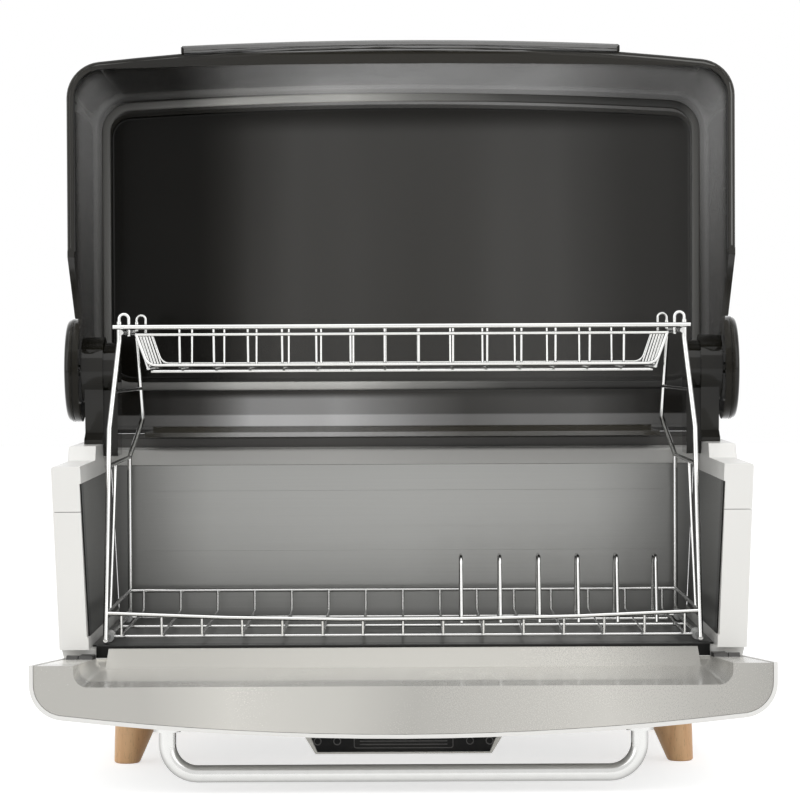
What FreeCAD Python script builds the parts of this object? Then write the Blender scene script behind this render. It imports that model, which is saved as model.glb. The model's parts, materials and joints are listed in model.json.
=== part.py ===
import FreeCAD, Part
import math
import os
import Sketcher
from FreeCAD import Placement, Rotation, Vector

# Countertop dish sterilizer: a low cabinet on four splayed wooden feet, with a clamshell
# lid that flips back, a bow-front door that drops forward, a wire rack and an upper basket.
#
# Cabinet pieces are drawn with X to the right, Y backward from the front edge of the side
# walls and Z up from the table. Lid pieces are drawn closed, from the lid's hinge axis, and
# door pieces closed, from the door's hinge axis. Each piece's Placement then carries it to
# the assembly, whose origin is under the middle of the opened object. Millimetres.

DIMENSIONS = {
    # Whole cabinet
    "plan_centre": (84.25, "front edge of the side walls to the origin"),
    "cabinet_depth": (232.0, "front edge of the side walls to the back"),
    "base_bottom": (45.0, "underside of the base above the table"),
    "base_top": (80.0, "top of the base, foot of the side walls"),
    "base_half_width": (219.0, "half width of the base's underside"),
    "wall_foot_half": (228.0, "half width outside the walls' foot"),
    "wall_head_half": (234.0, "half width outside the walls' head"),
    "wall_top": (201.5, "top of the walls' front part"),
    "wall_thickness": (19.5, "thickness of a hollow side wall"),
    "wall_lean": (9.0, "how far the walls' foot stands in front of their head"),
    "seam_height": (171.0, "joint line between the lower and upper side panels"),
    "seam_gap": (0.4, "width of that joint line"),
    "shoulder_top": (211.0, "top of the raised rear part of the walls"),
    "shoulder_start": (104.0, "where the rise to the shoulder begins"),
    "shoulder_end": (116.0, "where the rise to the shoulder ends"),
    "corner_radius": (16.0, "plan radius of the cabinet's rear corners"),
    "skin": (2.5, "thickness of moulded covers"),
    "sheet_metal": (1.0, "thickness of the steel linings"),
    "lining_low": (88.0, "lower edge of the side linings"),
    "lining_high": (190.0, "upper edge of the side linings"),
    "base_front": (3.0, "front of the base behind the sill"),
    "sill_height": (81.9, "top of the front sill"),
    # Lid, from its hinge axis
    "lid_axis_back": (179.0, "lid hinge axis behind the front edge"),
    "lid_axis_height": (263.5, "lid hinge axis above the table"),
    "lid_half_width": (233.0, "half width at the lid's rim"),
    "lid_head_half": (230.0, "half width at the lid's shoulder"),
    "lid_rim": (61.0, "rim below the hinge axis"),
    "lid_shoulder": (124.5, "shoulder above the hinge axis"),
    "lid_crown": (134.5, "crown panel above the hinge axis"),
    "lid_front": (213.0, "front corners ahead of the hinge axis"),
    "lid_draft": (9.2, "how far the front wall leans back to the shoulder"),
    "front_bow": (14.0, "how far lid and door bow out at the middle"),
    "shoulder_bow": (7.5, "how far the lid's shoulder and crown bow out"),
    "flange_front": (211.6, "front of the rim flange's opening ahead of the axis"),
    "flange_bow": (3.4, "bow of that opening's front edge"),
    "flange_thick": (3.0, "thickness of the rim flange"),
    "lid_back": (47.0, "back wall behind the hinge axis"),
    "lid_wall": (3.0, "thickness of the lid"),
    "lid_corner": (24.0, "plan radius of the lid's front corners"),
    "lid_rear_corner": (20.0, "plan radius of the lid's rear corners"),
    "bead_width": (1.4, "how far the rim's bead stands out"),
    "crown_half_width": (223.0, "half width outside the crown panel"),
    "crown_front": (192.6, "front of the crown panel ahead of the axis"),
    "crown_back": (11.0, "back of the crown panel behind the axis"),
    "crown_radius": (18.0, "plan radius of the crown panel"),
    "tail_half_width": (182.0, "half width of the back wall between the arms"),
    "tail_drop": (49.0, "lower edge of the back wall below the axis"),
    "hub_radius": (37.0, "lid hub disc"),
    "hub_inside": (230.3, "inner face of the lid hub"),
    "hub_outside": (236.8, "outer face of the lid hub"),
    "cap_outside": (240.2, "outer face of the hub cap"),
    "grip_half_width": (153.0, "half width of the lid's finger grip"),
    "grip_height": (15.0, "height of the finger grip"),
    "grip_front": (231.3, "front of the grip ahead of the axis, at the middle"),
    "grip_bow": (3.5, "how far the grip bows out"),
    # Arms and pins
    "arm_inside": (214.0, "inner face of the hinge arm"),
    "arm_outside": (227.0, "outer face of the hinge arm"),
    "barrel_radius": (24.0, "arm barrel"),
    "barrel_outside": (229.5, "outer face of the arm barrel"),
    "pin_radius": (4.0, "lid hinge pin"),
    "running_gap": (0.05, "radial clearance between a pin and its bore"),
    # Door, from its hinge axis
    "door_axis_front": (14.0, "door hinge axis in front of the side walls"),
    "door_axis_height": (71.0, "door hinge axis above the table"),
    "door_length": (130.0, "hinge axis to the door's free edge"),
    "door_tail": (12.0, "how far the door reaches past its axis"),
    "door_foot_half": (227.0, "half width at the door's hinged edge"),
    "door_head_half": (232.5, "half width at the door's free edge"),
    "door_face": (19.0, "outer face at the corners ahead of the axis"),
    "door_rim_head": (13.0, "rim behind the axis at the free edge"),
    "door_rim_foot": (3.0, "rim behind the axis at the hinged edge"),
    "door_corner": (22.0, "plan radius of the door's outer corners"),
    "door_skin": (2.5, "thickness of the door's outer shell"),
    "scoop_half_width": (205.0, "half width of the recess in the door"),
    "scoop_depth": (14.0, "depth of that recess"),
    "ridge_half_width": (195.5, "half width of the ridge behind that recess"),
    "ridge_height": (9.6, "top of the ridge behind the axis"),
    "handle_radius": (5.5, "handle tube"),
    "handle_half_width": (148.5, "half distance between the handle's legs"),
    "handle_reach": (58.5, "handle bar ahead of the hinge axis"),
    "handle_height": (104.0, "handle above the hinge axis"),
    "handle_bend": (19.0, "bend radius of the handle tube"),
    "door_pin_radius": (2.5, "door hinge pin"),
    "bracket_inside": (205.5, "inner face of the door bracket"),
    "bracket_width": (9.0, "width of the door bracket"),
    "knuckle_radius": (6.0, "round of the bracket and of the door's knuckle"),
    # Feet and controls
    "foot_toe_radius": (8.8, "foot at the table"),
    "foot_head_radius": (18.0, "foot under the base"),
    "foot_toe_across": (186.8, "foot at the table from the middle"),
    "foot_head_across": (177.0, "foot under the base from the middle"),
    "foot_front": (38.0, "front feet behind the front edge"),
    "foot_rear": (192.0, "rear feet behind the front edge"),
    "foot_splay": (8.0, "how far a foot's toe stands out front or back"),
    "chin_bottom": (10.5, "underside of the control housing"),
    "chin_half_bottom": (58.5, "half width of the control housing's underside"),
    "chin_slope": (0.61, "how fast its sides open upward"),
    "chin_front": (12.0, "control face in front of the side walls"),
    "chin_face_top": (33.0, "top of the control face"),
    "chin_back": (62.0, "back of the control housing"),
    # Wire rack and basket
    "heavy_wire": (3.4, "diameter of frame wires"),
    "rail_wire": (2.8, "diameter of the rack's rails"),
    "light_wire": (2.3, "diameter of rims, ties and hooks"),
    "grid_wire": (1.8, "diameter of grid wires"),
    "rack_half_width": (199.0, "half width between the frames' lower wires"),
    "rack_front": (8.0, "frames' front foot"),
    "rack_rear": (204.0, "frames' rear foot"),
    "rack_floor": (84.9, "axis of the lowest wires"),
    "rail_height": (102.4, "axis of the front and rear rails at their ends"),
    "rail_dip": (5.0, "how far the front rail dips towards its middle"),
    "rail_bend": (300.0, "bend radius between that rail's straight runs"),
    "tie_low": (200.0, "lower tie of a side frame"),
    "tie_high": (250.0, "upper tie of a side frame"),
    "hook_top": (303.0, "top of the hooks"),
    "rack_pitch": (27.0, "spacing of the rack's floor wires"),
    "basket_front": (59.65, "front of the basket"),
    "basket_rear": (194.35, "rear of the basket"),
    "basket_rim": (294.2, "axis of the basket's carrying bars"),
    "basket_lower_rim": (289.0, "axis of the basket's rim"),
    "basket_floor": (266.0, "axis of the basket's floor wires"),
    "basket_half_top": (181.5, "half width of the basket's rim"),
    "basket_half_floor": (174.0, "half width of the basket's floor"),
    "basket_pitch": (23.4, "spacing of the basket's wires"),
    # Blower
    "wheel_radius": (42.0, "blower wheel"),
    "wheel_height": (18.0, "height of the blower wheel"),
    "blower_back": (120.0, "blower axis behind the front edge"),
}


class Size:
    """A size that knows its value and the spreadsheet formula that it comes from."""

    def __init__(self, value, formula):
        self.value = value
        self.formula = formula

    def join(self, sign, other, value):
        return Size(value, f"({self.formula} {sign} {other.formula})")

    def __add__(self, other):
        other = as_size(other)
        return self.join("+", other, self.value + other.value)

    def __sub__(self, other):
        other = as_size(other)
        return self.join("-", other, self.value - other.value)

    def __mul__(self, other):
        other = as_size(other)
        return self.join("*", other, self.value * other.value)

    def __truediv__(self, other):
        other = as_size(other)
        return self.join("/", other, self.value / other.value)

    def __neg__(self):
        return as_size(0) - self

    def __radd__(self, other):
        return as_size(other) + self

    def __rsub__(self, other):
        return as_size(other) - self

    def __rmul__(self, other):
        return as_size(other) * self


def as_size(number):
    """A plain number as a size with a constant formula."""
    if isinstance(number, Size):
        return number
    return Size(float(number), f"({float(number)})")


class Sheet:
    """The driving dimensions: one spreadsheet row each, read back as attributes."""

    def __init__(self, document, table):
        cells = document.addObject("Spreadsheet::Sheet", "Dimensions")
        for row, (alias, (value, meaning)) in enumerate(table.items(), start=1):
            cells.set(f"A{row}", alias)
            cells.set(f"B{row}", str(value))
            cells.set(f"C{row}", meaning)
            cells.setAlias(f"B{row}", alias)
            setattr(self, alias, Size(value, f"Dimensions.{alias}"))


doc = FreeCAD.newDocument("DishSterilizer")
dim = Sheet(doc, DIMENSIONS)
doc.recompute()
PIECES = []
CORD_PLACE = (-150.0, 62.0)    # where the cord enters the back: across, above the table
SIDES = {"left": -1, "right": 1}


# --- Sketches and features -------------------------------------------------------------

def bind(target, path, size):
    """Drive one property of an object by a size's formula."""
    target.setExpression(path, as_size(size).formula)


def new_body(label):
    """An empty body that becomes the sub-part called label."""
    body = doc.addObject("PartDesign::Body", label)
    body.Label = label
    PIECES.append(body)
    return body


def sketch_on(body, plane, lift=0.0):
    """A sketch on one of the body's origin planes, lifted along that plane's normal."""
    sketch = body.newObject("Sketcher::SketchObject", f"{body.Label}_sketch")
    support = [face for face in body.Origin.OriginFeatures if face.Role == plane]
    sketch.AttachmentSupport = (support[0], [""])
    sketch.MapMode = "FlatFace"
    bind(sketch, "AttachmentOffset.Base.z", lift)
    return sketch


def fix_coordinate(sketch, kind, geometry, position, size):
    """Fix one coordinate of a point of a sketch element."""
    size = as_size(size)
    link = Sketcher.Constraint(kind, -1, 1, geometry, position, size.value)
    bind(sketch, f"Constraints[{sketch.addConstraint(link)}]", size)


def place_point(sketch, geometry, position, point):
    """Fix one point of a sketch element by its two coordinates."""
    for kind, size in zip(("DistanceX", "DistanceY"), point):
        fix_coordinate(sketch, kind, geometry, position, size)


def bowed_edge(start, end, bow, half_chord):
    """An arc between two points that stands bow proud of its chord, and its radius."""
    chord = end - start
    side = Vector(chord.y, -chord.x, 0).normalize()
    top = (start + end) * 0.5 + side * bow.value
    radius = (half_chord * half_chord + bow * bow) / (2 * bow)
    return Part.Arc(start, top, end), radius


def outline(sketch, corners, bows=None):
    """A closed outline through corners, anticlockwise; bows turns an edge into an arc."""
    bows = bows or {}
    first = sketch.GeometryCount
    count = len(corners)
    points = [Vector(as_size(x).value, as_size(y).value, 0) for x, y in corners]
    for index in range(count):
        start, end = points[index], points[(index + 1) % count]
        if index in bows:
            edge, radius = bowed_edge(start, end, *bows[index])
            sketch.addGeometry(edge, False)
            link = Sketcher.Constraint("Radius", first + index, radius.value)
            bind(sketch, f"Constraints[{sketch.addConstraint(link)}]", radius)
        else:
            sketch.addGeometry(Part.LineSegment(start, end), False)
    for index in range(count):
        after = first + (index + 1) % count
        sketch.addConstraint(Sketcher.Constraint("Coincident", first + index, 2, after, 1))
        place_point(sketch, first + index, 1, corners[index])
    return sketch


def box_outline(sketch, low, high):
    """A rectangle between two opposite corners."""
    (left, bottom), (right, top) = low, high
    return outline(sketch, [(left, bottom), (right, bottom), (right, top), (left, top)])


def circle(sketch, centre, radius):
    """A circle in a sketch."""
    radius = as_size(radius)
    middle = Vector(as_size(centre[0]).value, as_size(centre[1]).value, 0)
    index = sketch.addGeometry(Part.Circle(middle, Vector(0, 0, 1), radius.value), False)
    place_point(sketch, index, 3, centre)
    link = Sketcher.Constraint("Radius", index, radius.value)
    bind(sketch, f"Constraints[{sketch.addConstraint(link)}]", radius)
    return sketch


def bow_plan(sketch, half, front, back, bow, corner, rear_corner):
    """A rounded plan whose front edge bows forward, for the lid and the door.

    The bow stands proud of the line y = -front through the unrounded front corners.
    """
    half, front, back, bow = (as_size(size) for size in (half, front, back, bow))
    corner, rear_corner = as_size(corner), as_size(rear_corner)
    bow_radius = (half * half + bow * bow) / (2 * bow)
    bow_centre = bow_radius - front - bow
    width, rear, small, large = half.value, back.value, rear_corner.value, corner.value
    reach = bow_radius.value - large
    centre = Vector(width - large, 0, 0)
    centre.y = bow_centre.value - (reach ** 2 - centre.x ** 2) ** 0.5
    middle_of_bow = Vector(0, bow_centre.value, 0)
    touch = middle_of_bow + (centre - middle_of_bow) * (bow_radius.value / reach)
    apex = Vector(0, -front.value - bow.value, 0)

    def mirrored(point):
        return Vector(-point.x, point.y, 0)

    def rounded(middle, radius, across, along):
        return middle + Vector(across, along, 0) * (radius * 0.5 ** 0.5)

    rear_middle = Vector(width - small, rear - small, 0)
    rear_side, rear_end = Vector(width, rear - small, 0), Vector(width - small, rear, 0)
    side_start = Vector(width, centre.y, 0)
    bisector = ((side_start - centre) + (touch - centre)).normalize() * large
    front_top = centre + bisector
    rear_top = rounded(rear_middle, small, 1, 1)
    edges = [
        Part.LineSegment(side_start, rear_side),
        Part.Arc(rear_side, rear_top, rear_end),
        Part.LineSegment(rear_end, mirrored(rear_end)),
        Part.Arc(mirrored(rear_end), mirrored(rear_top), mirrored(rear_side)),
        Part.LineSegment(mirrored(rear_side), mirrored(side_start)),
        Part.Arc(mirrored(side_start), mirrored(front_top), mirrored(touch)),
        Part.Arc(mirrored(touch), apex, touch),
        Part.Arc(touch, front_top, side_start),
    ]
    first = sketch.GeometryCount
    sketch.addGeometry(edges, False)
    count = len(edges)
    for index in range(count):
        after = first + (index + 1) % count
        sketch.addConstraint(Sketcher.Constraint("Tangent", first + index, 2, after, 1))
    for index, kind in ((0, "Vertical"), (2, "Horizontal"), (4, "Vertical")):
        sketch.addConstraint(Sketcher.Constraint(kind, first + index))
    radii = {1: rear_corner, 3: rear_corner, 5: corner, 6: bow_radius, 7: corner}
    for index, radius in radii.items():
        link = Sketcher.Constraint("Radius", first + index, radius.value)
        bind(sketch, f"Constraints[{sketch.addConstraint(link)}]", radius)
    fix_coordinate(sketch, "DistanceX", first, 2, half)
    fix_coordinate(sketch, "DistanceX", first + 4, 1, -half)
    fix_coordinate(sketch, "DistanceY", first + 2, 1, back)
    place_point(sketch, first + 6, 3, (0, bow_centre))
    return sketch


def extrude(body, kind, profile, length, toward=True, both=False):
    """A pad or pocket of a sketch; toward runs along the plane's normal for either."""
    feature = body.newObject(f"PartDesign::{kind}", f"{body.Label}_{kind.lower()}")
    feature.Profile = profile
    bind(feature, "Length", length)
    feature.SideType = "Symmetric" if both else "One side"
    feature.Reversed = (not toward) if kind == "Pad" else toward
    return feature


def pad(body, profile, length, toward=True, both=False):
    """Material along a sketch's normal."""
    return extrude(body, "Pad", profile, length, toward, both)


def pocket(body, profile, length, toward=True, both=False):
    """A cut along a sketch's normal, which must take material away."""
    doc.recompute()
    before = body.Shape.Volume
    feature = extrude(body, "Pocket", profile, length, toward, both)
    doc.recompute()
    if not body.Shape.Volume < before - 0.01:
        raise RuntimeError(f"{feature.Label} cuts nothing")
    return feature


def loft(body, kind, sections):
    """A straight loft through sketches, additive or subtractive."""
    feature = body.newObject(f"PartDesign::{kind}Loft", f"{body.Label}_{kind.lower()}")
    feature.Profile = sections[0]
    feature.Sections = sections[1:]
    feature.Ruled = True
    return feature


def dress(body, kind, size, chosen):
    """A fillet or chamfer on the edges of the body that pass the test chosen(edge)."""
    doc.recompute()
    base = body.Tip
    names = [f"Edge{i}" for i, edge in enumerate(base.Shape.Edges, 1) if chosen(edge)]
    if not names:
        raise RuntimeError(f"no edge to {kind.lower()} on {body.Label}")
    feature = body.newObject(f"PartDesign::{kind}", f"{body.Label}_{kind.lower()}")
    feature.Base = (base, names)
    bind(feature, "Radius" if kind == "Fillet" else "Size", size)
    return feature


def middle(edge):
    """The point halfway along an edge."""
    return edge.valueAt((edge.FirstParameter + edge.LastParameter) / 2)


def runs_along(edge, axis, slack=0.12):
    """Whether an edge is straight and nearly parallel to an axis."""
    step = edge.valueAt(edge.LastParameter) - edge.valueAt(edge.FirstParameter)
    if step.Length < 0.01 or edge.Length > step.Length * 1.0001:
        return False
    return step.normalize().cross(axis).Length < slack


def near(value, size, slack=0.6):
    """Whether a coordinate lies at a size, give or take slack."""
    return abs(value - as_size(size).value) < slack


X_AXIS, Y_AXIS, Z_AXIS = Vector(1, 0, 0), Vector(0, 1, 0), Vector(0, 0, 1)


# --- Wires and turned pieces -------------------------------------------------------------

def bent_path(points, radius):
    """A wire through points, whose corners are arcs of one radius."""
    edges = []
    start = points[0]
    for before, corner, after in zip(points, points[1:], points[2:]):
        inward, outward = (before - corner).normalize(), (after - corner).normalize()
        half_turn = (-inward).getAngle(outward) / 2
        reach = radius * math.tan(half_turn)
        entry, leave = corner + inward * reach, corner + outward * reach
        bisector = (inward + outward).normalize()
        depth = (radius ** 2 + reach ** 2) ** 0.5
        edges.append(Part.makeLine(start, entry))
        top = corner + bisector * (depth - radius)
        edges.append(Part.Arc(entry, top, leave).toShape())
        start = leave
    edges.append(Part.makeLine(start, points[-1]))
    return Part.Wire(edges)


def bent_wire(points, diameter, radius):
    """A round wire bent through points."""
    path = bent_path(points, radius)
    direction = points[1] - points[0]
    section = Part.Wire(Part.makeCircle(diameter / 2, points[0], direction))
    return path.makePipeShell([section], True, True)


def straight_wire(start, end, diameter):
    """A straight round wire."""
    step = end - start
    return Part.makeCylinder(diameter / 2, step.Length, start, step)


def height_along(knots, across):
    """The height, at a place across, of the line through knots."""
    for before, after in zip(knots, knots[1:]):
        if across <= after.x:
            share = (across - before.x) / (after.x - before.x)
            return before.z + share * (after.z - before.z)
    return knots[-1].z


def weld(wires):
    """Wires joined into one solid."""
    return wires[0].fuse(wires[1:])


def new_feature(label, shape):
    """A sub-part whose shape was made of bent wires."""
    feature = doc.addObject("Part::Feature", label)
    feature.Label = label
    feature.Shape = shape
    PIECES.append(feature)
    return feature


# --- Where the pieces go ------------------------------------------------------------------

def place(piece, back=0.0, up=0.0, turn=0.0):
    """Carry a piece from its drawing frame to the assembly, turned about X."""
    piece.Placement = Placement(Vector(0, 0, 0), Rotation(X_AXIS, turn))
    bind(piece, "Placement.Base.y", back - dim.plan_centre)
    bind(piece, "Placement.Base.z", up)
    return piece


def place_on_lid(piece):
    """The lid stands open, a quarter turn back from closed."""
    return place(piece, dim.lid_axis_back, dim.lid_axis_height, -90)


def place_on_door(piece):
    """The door lies open, a quarter turn forward from closed."""
    return place(piece, -dim.door_axis_front, dim.door_axis_height, 90)


# --- Cabinet ---------------------------------------------------------------------------------

def wall_half_at(height):
    """Half width outside the side walls at a height."""
    rise = (height - dim.base_top) / (dim.wall_top - dim.base_top)
    return dim.wall_foot_half + (dim.wall_head_half - dim.wall_foot_half) * rise


def lean_at(height):
    """How far the side walls' front edge stands forward at a height."""
    return dim.wall_lean * (dim.wall_top - height) / (dim.wall_top - dim.base_top)


def side_panel(label, side, low, high, lining):
    """One hollow-looking side wall piece between two heights, recessed for its lining."""
    body = new_body(label)
    lining_low, lining_high = lining
    inner_low = wall_half_at(low) - dim.wall_thickness
    inner_high = wall_half_at(high) - dim.wall_thickness
    recess_low = wall_half_at(lining_low) - dim.wall_thickness
    recess_high = wall_half_at(lining_high) - dim.wall_thickness
    ends = [(wall_half_at(low), low), (wall_half_at(high), high), (inner_high, high)]
    if lining_high.value < high.value:
        ends += [(recess_high, lining_high)]
    ends += [(recess_high + dim.sheet_metal, lining_high)]
    ends += [(recess_low + dim.sheet_metal, lining_low)]
    if lining_low.value > low.value:
        ends += [(recess_low, lining_low), (inner_low, low)]
    corners = [(side * x, z) for x, z in ends]
    profile = outline(sketch_on(body, "XZ_Plane", dim.wall_lean + 1), corners)
    pad(body, profile, dim.cabinet_depth + dim.wall_lean + 1, toward=False)
    beyond = dim.wall_lean + 20
    front = [(-beyond, low - 5), (-lean_at(low - 5), low - 5)]
    front += [(-lean_at(high + 5), high + 5), (-beyond, high + 5)]
    pocket(body, outline(sketch_on(body, "YZ_Plane"), front), 600, both=True)
    if high.value > dim.wall_top.value:
        step = [(-beyond, dim.wall_top), (dim.shoulder_start, dim.wall_top)]
        step += [(dim.shoulder_end, high + 0.5), (-beyond, high + 0.5)]
        pocket(body, outline(sketch_on(body, "YZ_Plane"), step), 600, both=True)
    rear = dim.cabinet_depth
    dress(body, "Fillet", dim.corner_radius, lambda edge: (
        runs_along(edge, Z_AXIS) and near(middle(edge).y, rear)
        and abs(middle(edge).x) > dim.wall_foot_half.value - 2))
    if high.value > dim.wall_top.value:
        dress(body, "Fillet", 2.0, lambda edge: (
            edge.BoundBox.ZMin > dim.wall_top.value - 0.1
            and abs(middle(edge).x) > dim.wall_foot_half.value + 3))
    return place(body)


def side_walls():
    """Lower and upper side panels with their steel linings."""
    seam = dim.seam_height
    for name, side in SIDES.items():
        side_panel(f"lower_side_panel_{name}", side, dim.base_top, seam,
                   (dim.lining_low, seam))
        side_panel(f"upper_side_panel_{name}", side, seam + dim.seam_gap, dim.shoulder_top,
                   (seam + dim.seam_gap, dim.lining_high))
        body = new_body(f"side_lining_{name}")
        low, high = dim.lining_low + 0.2, dim.lining_high - 0.2
        inner_low = wall_half_at(low) - dim.wall_thickness
        inner_high = wall_half_at(high) - dim.wall_thickness
        thick = dim.sheet_metal - 0.1
        corners = [(side * inner_low, low), (side * (inner_low + thick), low)]
        corners += [(side * (inner_high + thick), high), (side * inner_high, high)]
        profile = outline(sketch_on(body, "XZ_Plane", -2.0), corners)
        pad(body, profile, dim.cabinet_depth - dim.skin * 6, toward=False)
        place(body)


def base_housing():
    """The base: a shallow tub, open below, whose top carries the cavity's floor."""
    body = new_body("base_housing")
    half, top = dim.base_half_width, dim.base_top - 0.2
    head = wall_half_at(top)
    corners = [(-half, dim.base_bottom), (half, dim.base_bottom), (head, top), (-head, top)]
    profile = outline(sketch_on(body, "XZ_Plane", -dim.base_front), corners)
    pad(body, profile, dim.cabinet_depth - dim.base_front, toward=False)
    rear = dim.cabinet_depth
    dress(body, "Fillet", dim.corner_radius, lambda edge: (
        runs_along(edge, Z_AXIS, 0.4) and near(middle(edge).y, rear)))
    dress(body, "Fillet", 5.0, lambda edge: near(edge.BoundBox.ZMax, dim.base_bottom))
    inset = dim.skin * 2
    room = sketch_on(body, "XY_Plane", dim.base_bottom - 1)
    box_outline(room, (-half + inset, dim.base_front + inset), (half - inset, rear - inset))
    pocket(body, room, dim.base_top - dim.base_bottom - dim.skin + 1)
    pocket(body, air_slots(sketch_on(body, "XY_Plane", dim.base_top - 8), 26, 4, 6), 20)
    cord_hole = sketch_on(body, "XZ_Plane", -(rear - inset - 2))
    pocket(body, circle(cord_hole, CORD_PLACE, 4.2), 12, toward=False)
    return place(body)


def air_slots(sketch, half_length, width, count):
    """A row of parallel slots over the blower."""
    for row in range(count):
        back = dim.blower_back + (row - (count - 1) / 2) * 10.0
        box_outline(sketch, (-half_length, back - width / 2), (half_length, back + width / 2))
    return sketch


def bottom_cover():
    """The plate that closes the base from below, with an air inlet under the blower."""
    body = new_body("bottom_cover")
    inset = dim.skin * 2 + 0.3
    half, rear = dim.base_half_width - inset, dim.cabinet_depth - inset
    plate = sketch_on(body, "XY_Plane", dim.base_bottom + 0.5)
    box_outline(plate, (-half, dim.base_front + inset), (half, rear))
    pad(body, plate, dim.skin)
    pocket(body, air_slots(sketch_on(body, "XY_Plane", dim.base_bottom - 1), 30, 3, 7), 10)
    return place(body)


def floor_tray():
    """The steel floor of the cavity, with a ring of outlet slots over the blower."""
    body = new_body("floor_tray")
    half = dim.wall_foot_half - dim.wall_thickness - 0.3
    plate = sketch_on(body, "XY_Plane", dim.base_top)
    box_outline(plate, (-half, dim.base_front + 12), (half, dim.cabinet_depth - 16))
    pad(body, plate, dim.sheet_metal)
    pocket(body, air_slots(sketch_on(body, "XY_Plane", dim.base_top - 1), 26, 4, 6), 5)
    return place(body)


def front_sill():
    """The bright strip along the cavity's front edge, over the door's hinge."""
    body = new_body("front_sill")
    front, lip = 0.5, 0.6
    face = dim.base_front - 0.1
    corners = [(front, 56), (front, dim.sill_height - lip), (front + lip, dim.sill_height)]
    corners += [(15, dim.sill_height), (15, dim.base_top + 1.2), (face, dim.base_top + 1.2)]
    corners += [(face, 56)]
    half = dim.bracket_inside - 1.0
    pad(body, outline(sketch_on(body, "YZ_Plane"), corners[::-1]), half * 2, both=True)
    return place(body)


def between_walls(sketch, low, high, margin=0.3):
    """A flat outline that fills the space between the leaning side walls."""
    half_low = wall_half_at(low) - dim.wall_thickness - margin
    half_high = wall_half_at(high) - dim.wall_thickness - margin
    return outline(sketch, [(-half_low, low), (half_low, low), (half_high, high),
                            (-half_high, high)])


def back_wall():
    """Rear panel with its seal under the lid, ribbed steel back, white frame over that."""
    front, top = dim.cabinet_depth - 10, as_size(206)
    panel = new_body("rear_panel")
    flat = between_walls(sketch_on(panel, "XZ_Plane", -front), dim.base_top, top)
    pad(panel, flat, dim.cabinet_depth - front, toward=False)
    dress(panel, "Fillet", 3.0, lambda edge: (
        runs_along(edge, X_AXIS) and near(middle(edge).z, top)))
    place(panel)

    lining = new_body("back_lining")
    flat = sketch_on(lining, "XZ_Plane", -(front - 2.1))
    pad(lining, between_walls(flat, dim.base_top + 1.2, as_size(193)), dim.sheet_metal,
        toward=False)
    ribs = sketch_on(lining, "XZ_Plane", -(front - 3.1))
    for low in (104, 148):
        between_walls(ribs, as_size(low), as_size(low + 26), 22)
    pad(lining, ribs, dim.sheet_metal + 0.2, toward=False)
    place(lining)

    frame = new_body("back_frame")
    flat = sketch_on(frame, "XZ_Plane", -(front - 6))
    pad(frame, between_walls(flat, as_size(193.4), as_size(205)), 5.9, toward=False)
    dress(frame, "Fillet", 2.0, lambda edge: (
        runs_along(edge, X_AXIS) and near(middle(edge).z, 205)
        and near(middle(edge).y, front - 6)))
    place(frame)

    seal = new_body("rear_seal")
    corners = [(front + 4, top + 0.05), (front + 9.5, top + 0.05), (front + 9.5, top + 6.3)]
    corners += [(front + 8.5, top + 7.3), (front + 5, top + 7.3), (front + 4, top + 6.3)]
    half = wall_half_at(top) - dim.wall_thickness - 2.5
    pad(seal, outline(sketch_on(seal, "YZ_Plane"), corners), half * 2, both=True)
    place(seal)


def hinge_arm(name, side):
    """A fixed arm: a foot on the wall's shoulder, a column and the barrel for the pin."""
    body = new_body(f"hinge_arm_{name}")
    back, axis = dim.lid_axis_back, dim.lid_axis_height
    foot = dim.shoulder_top + 0.1
    column = [(back - 26, foot), (back + 26, foot), (back + 26, foot + 3)]
    column += [(back + 19, foot + 8), (back + 21, axis), (back - 21, axis)]
    column += [(back - 17, foot + 8), (back - 26, foot + 3)]
    away = side > 0
    start = side * dim.arm_inside
    width = dim.arm_outside - dim.arm_inside
    pad(body, outline(sketch_on(body, "YZ_Plane", start), column), width, toward=away)
    barrel = circle(sketch_on(body, "YZ_Plane", start), (back, axis), dim.barrel_radius)
    pad(body, barrel, dim.barrel_outside - dim.arm_inside, toward=away)
    inner = [(back - 14, foot - 9), (back + 20, foot - 9), (back + 20, axis)]
    inner += [(back - 14, axis)]
    shelf = sketch_on(body, "YZ_Plane", side * (dim.arm_inside - 10))
    pad(body, outline(shelf, inner), 10.5, toward=away)
    boss = sketch_on(body, "YZ_Plane", side * (dim.arm_inside - 10))
    pad(body, circle(boss, (back, axis), dim.barrel_radius - 4), 10.5, toward=away)
    bore = sketch_on(body, "YZ_Plane", side * (dim.arm_inside + 2))
    pocket(body, circle(bore, (back, axis), dim.pin_radius), 30, toward=away)
    return place(body)


def hinge_pin(name, side):
    """The steel pin pressed into an arm, on which the lid's hub turns."""
    body = new_body(f"hinge_pin_{name}")
    start = sketch_on(body, "YZ_Plane", side * (dim.arm_inside + 2))
    circle(start, (dim.lid_axis_back, dim.lid_axis_height), dim.pin_radius)
    pad(body, start, dim.hub_outside - dim.arm_inside - 3, toward=side > 0)
    dress(body, "Chamfer", 0.5, lambda edge: abs(middle(edge).x) > dim.hub_inside.value)
    return place(body)


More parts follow.
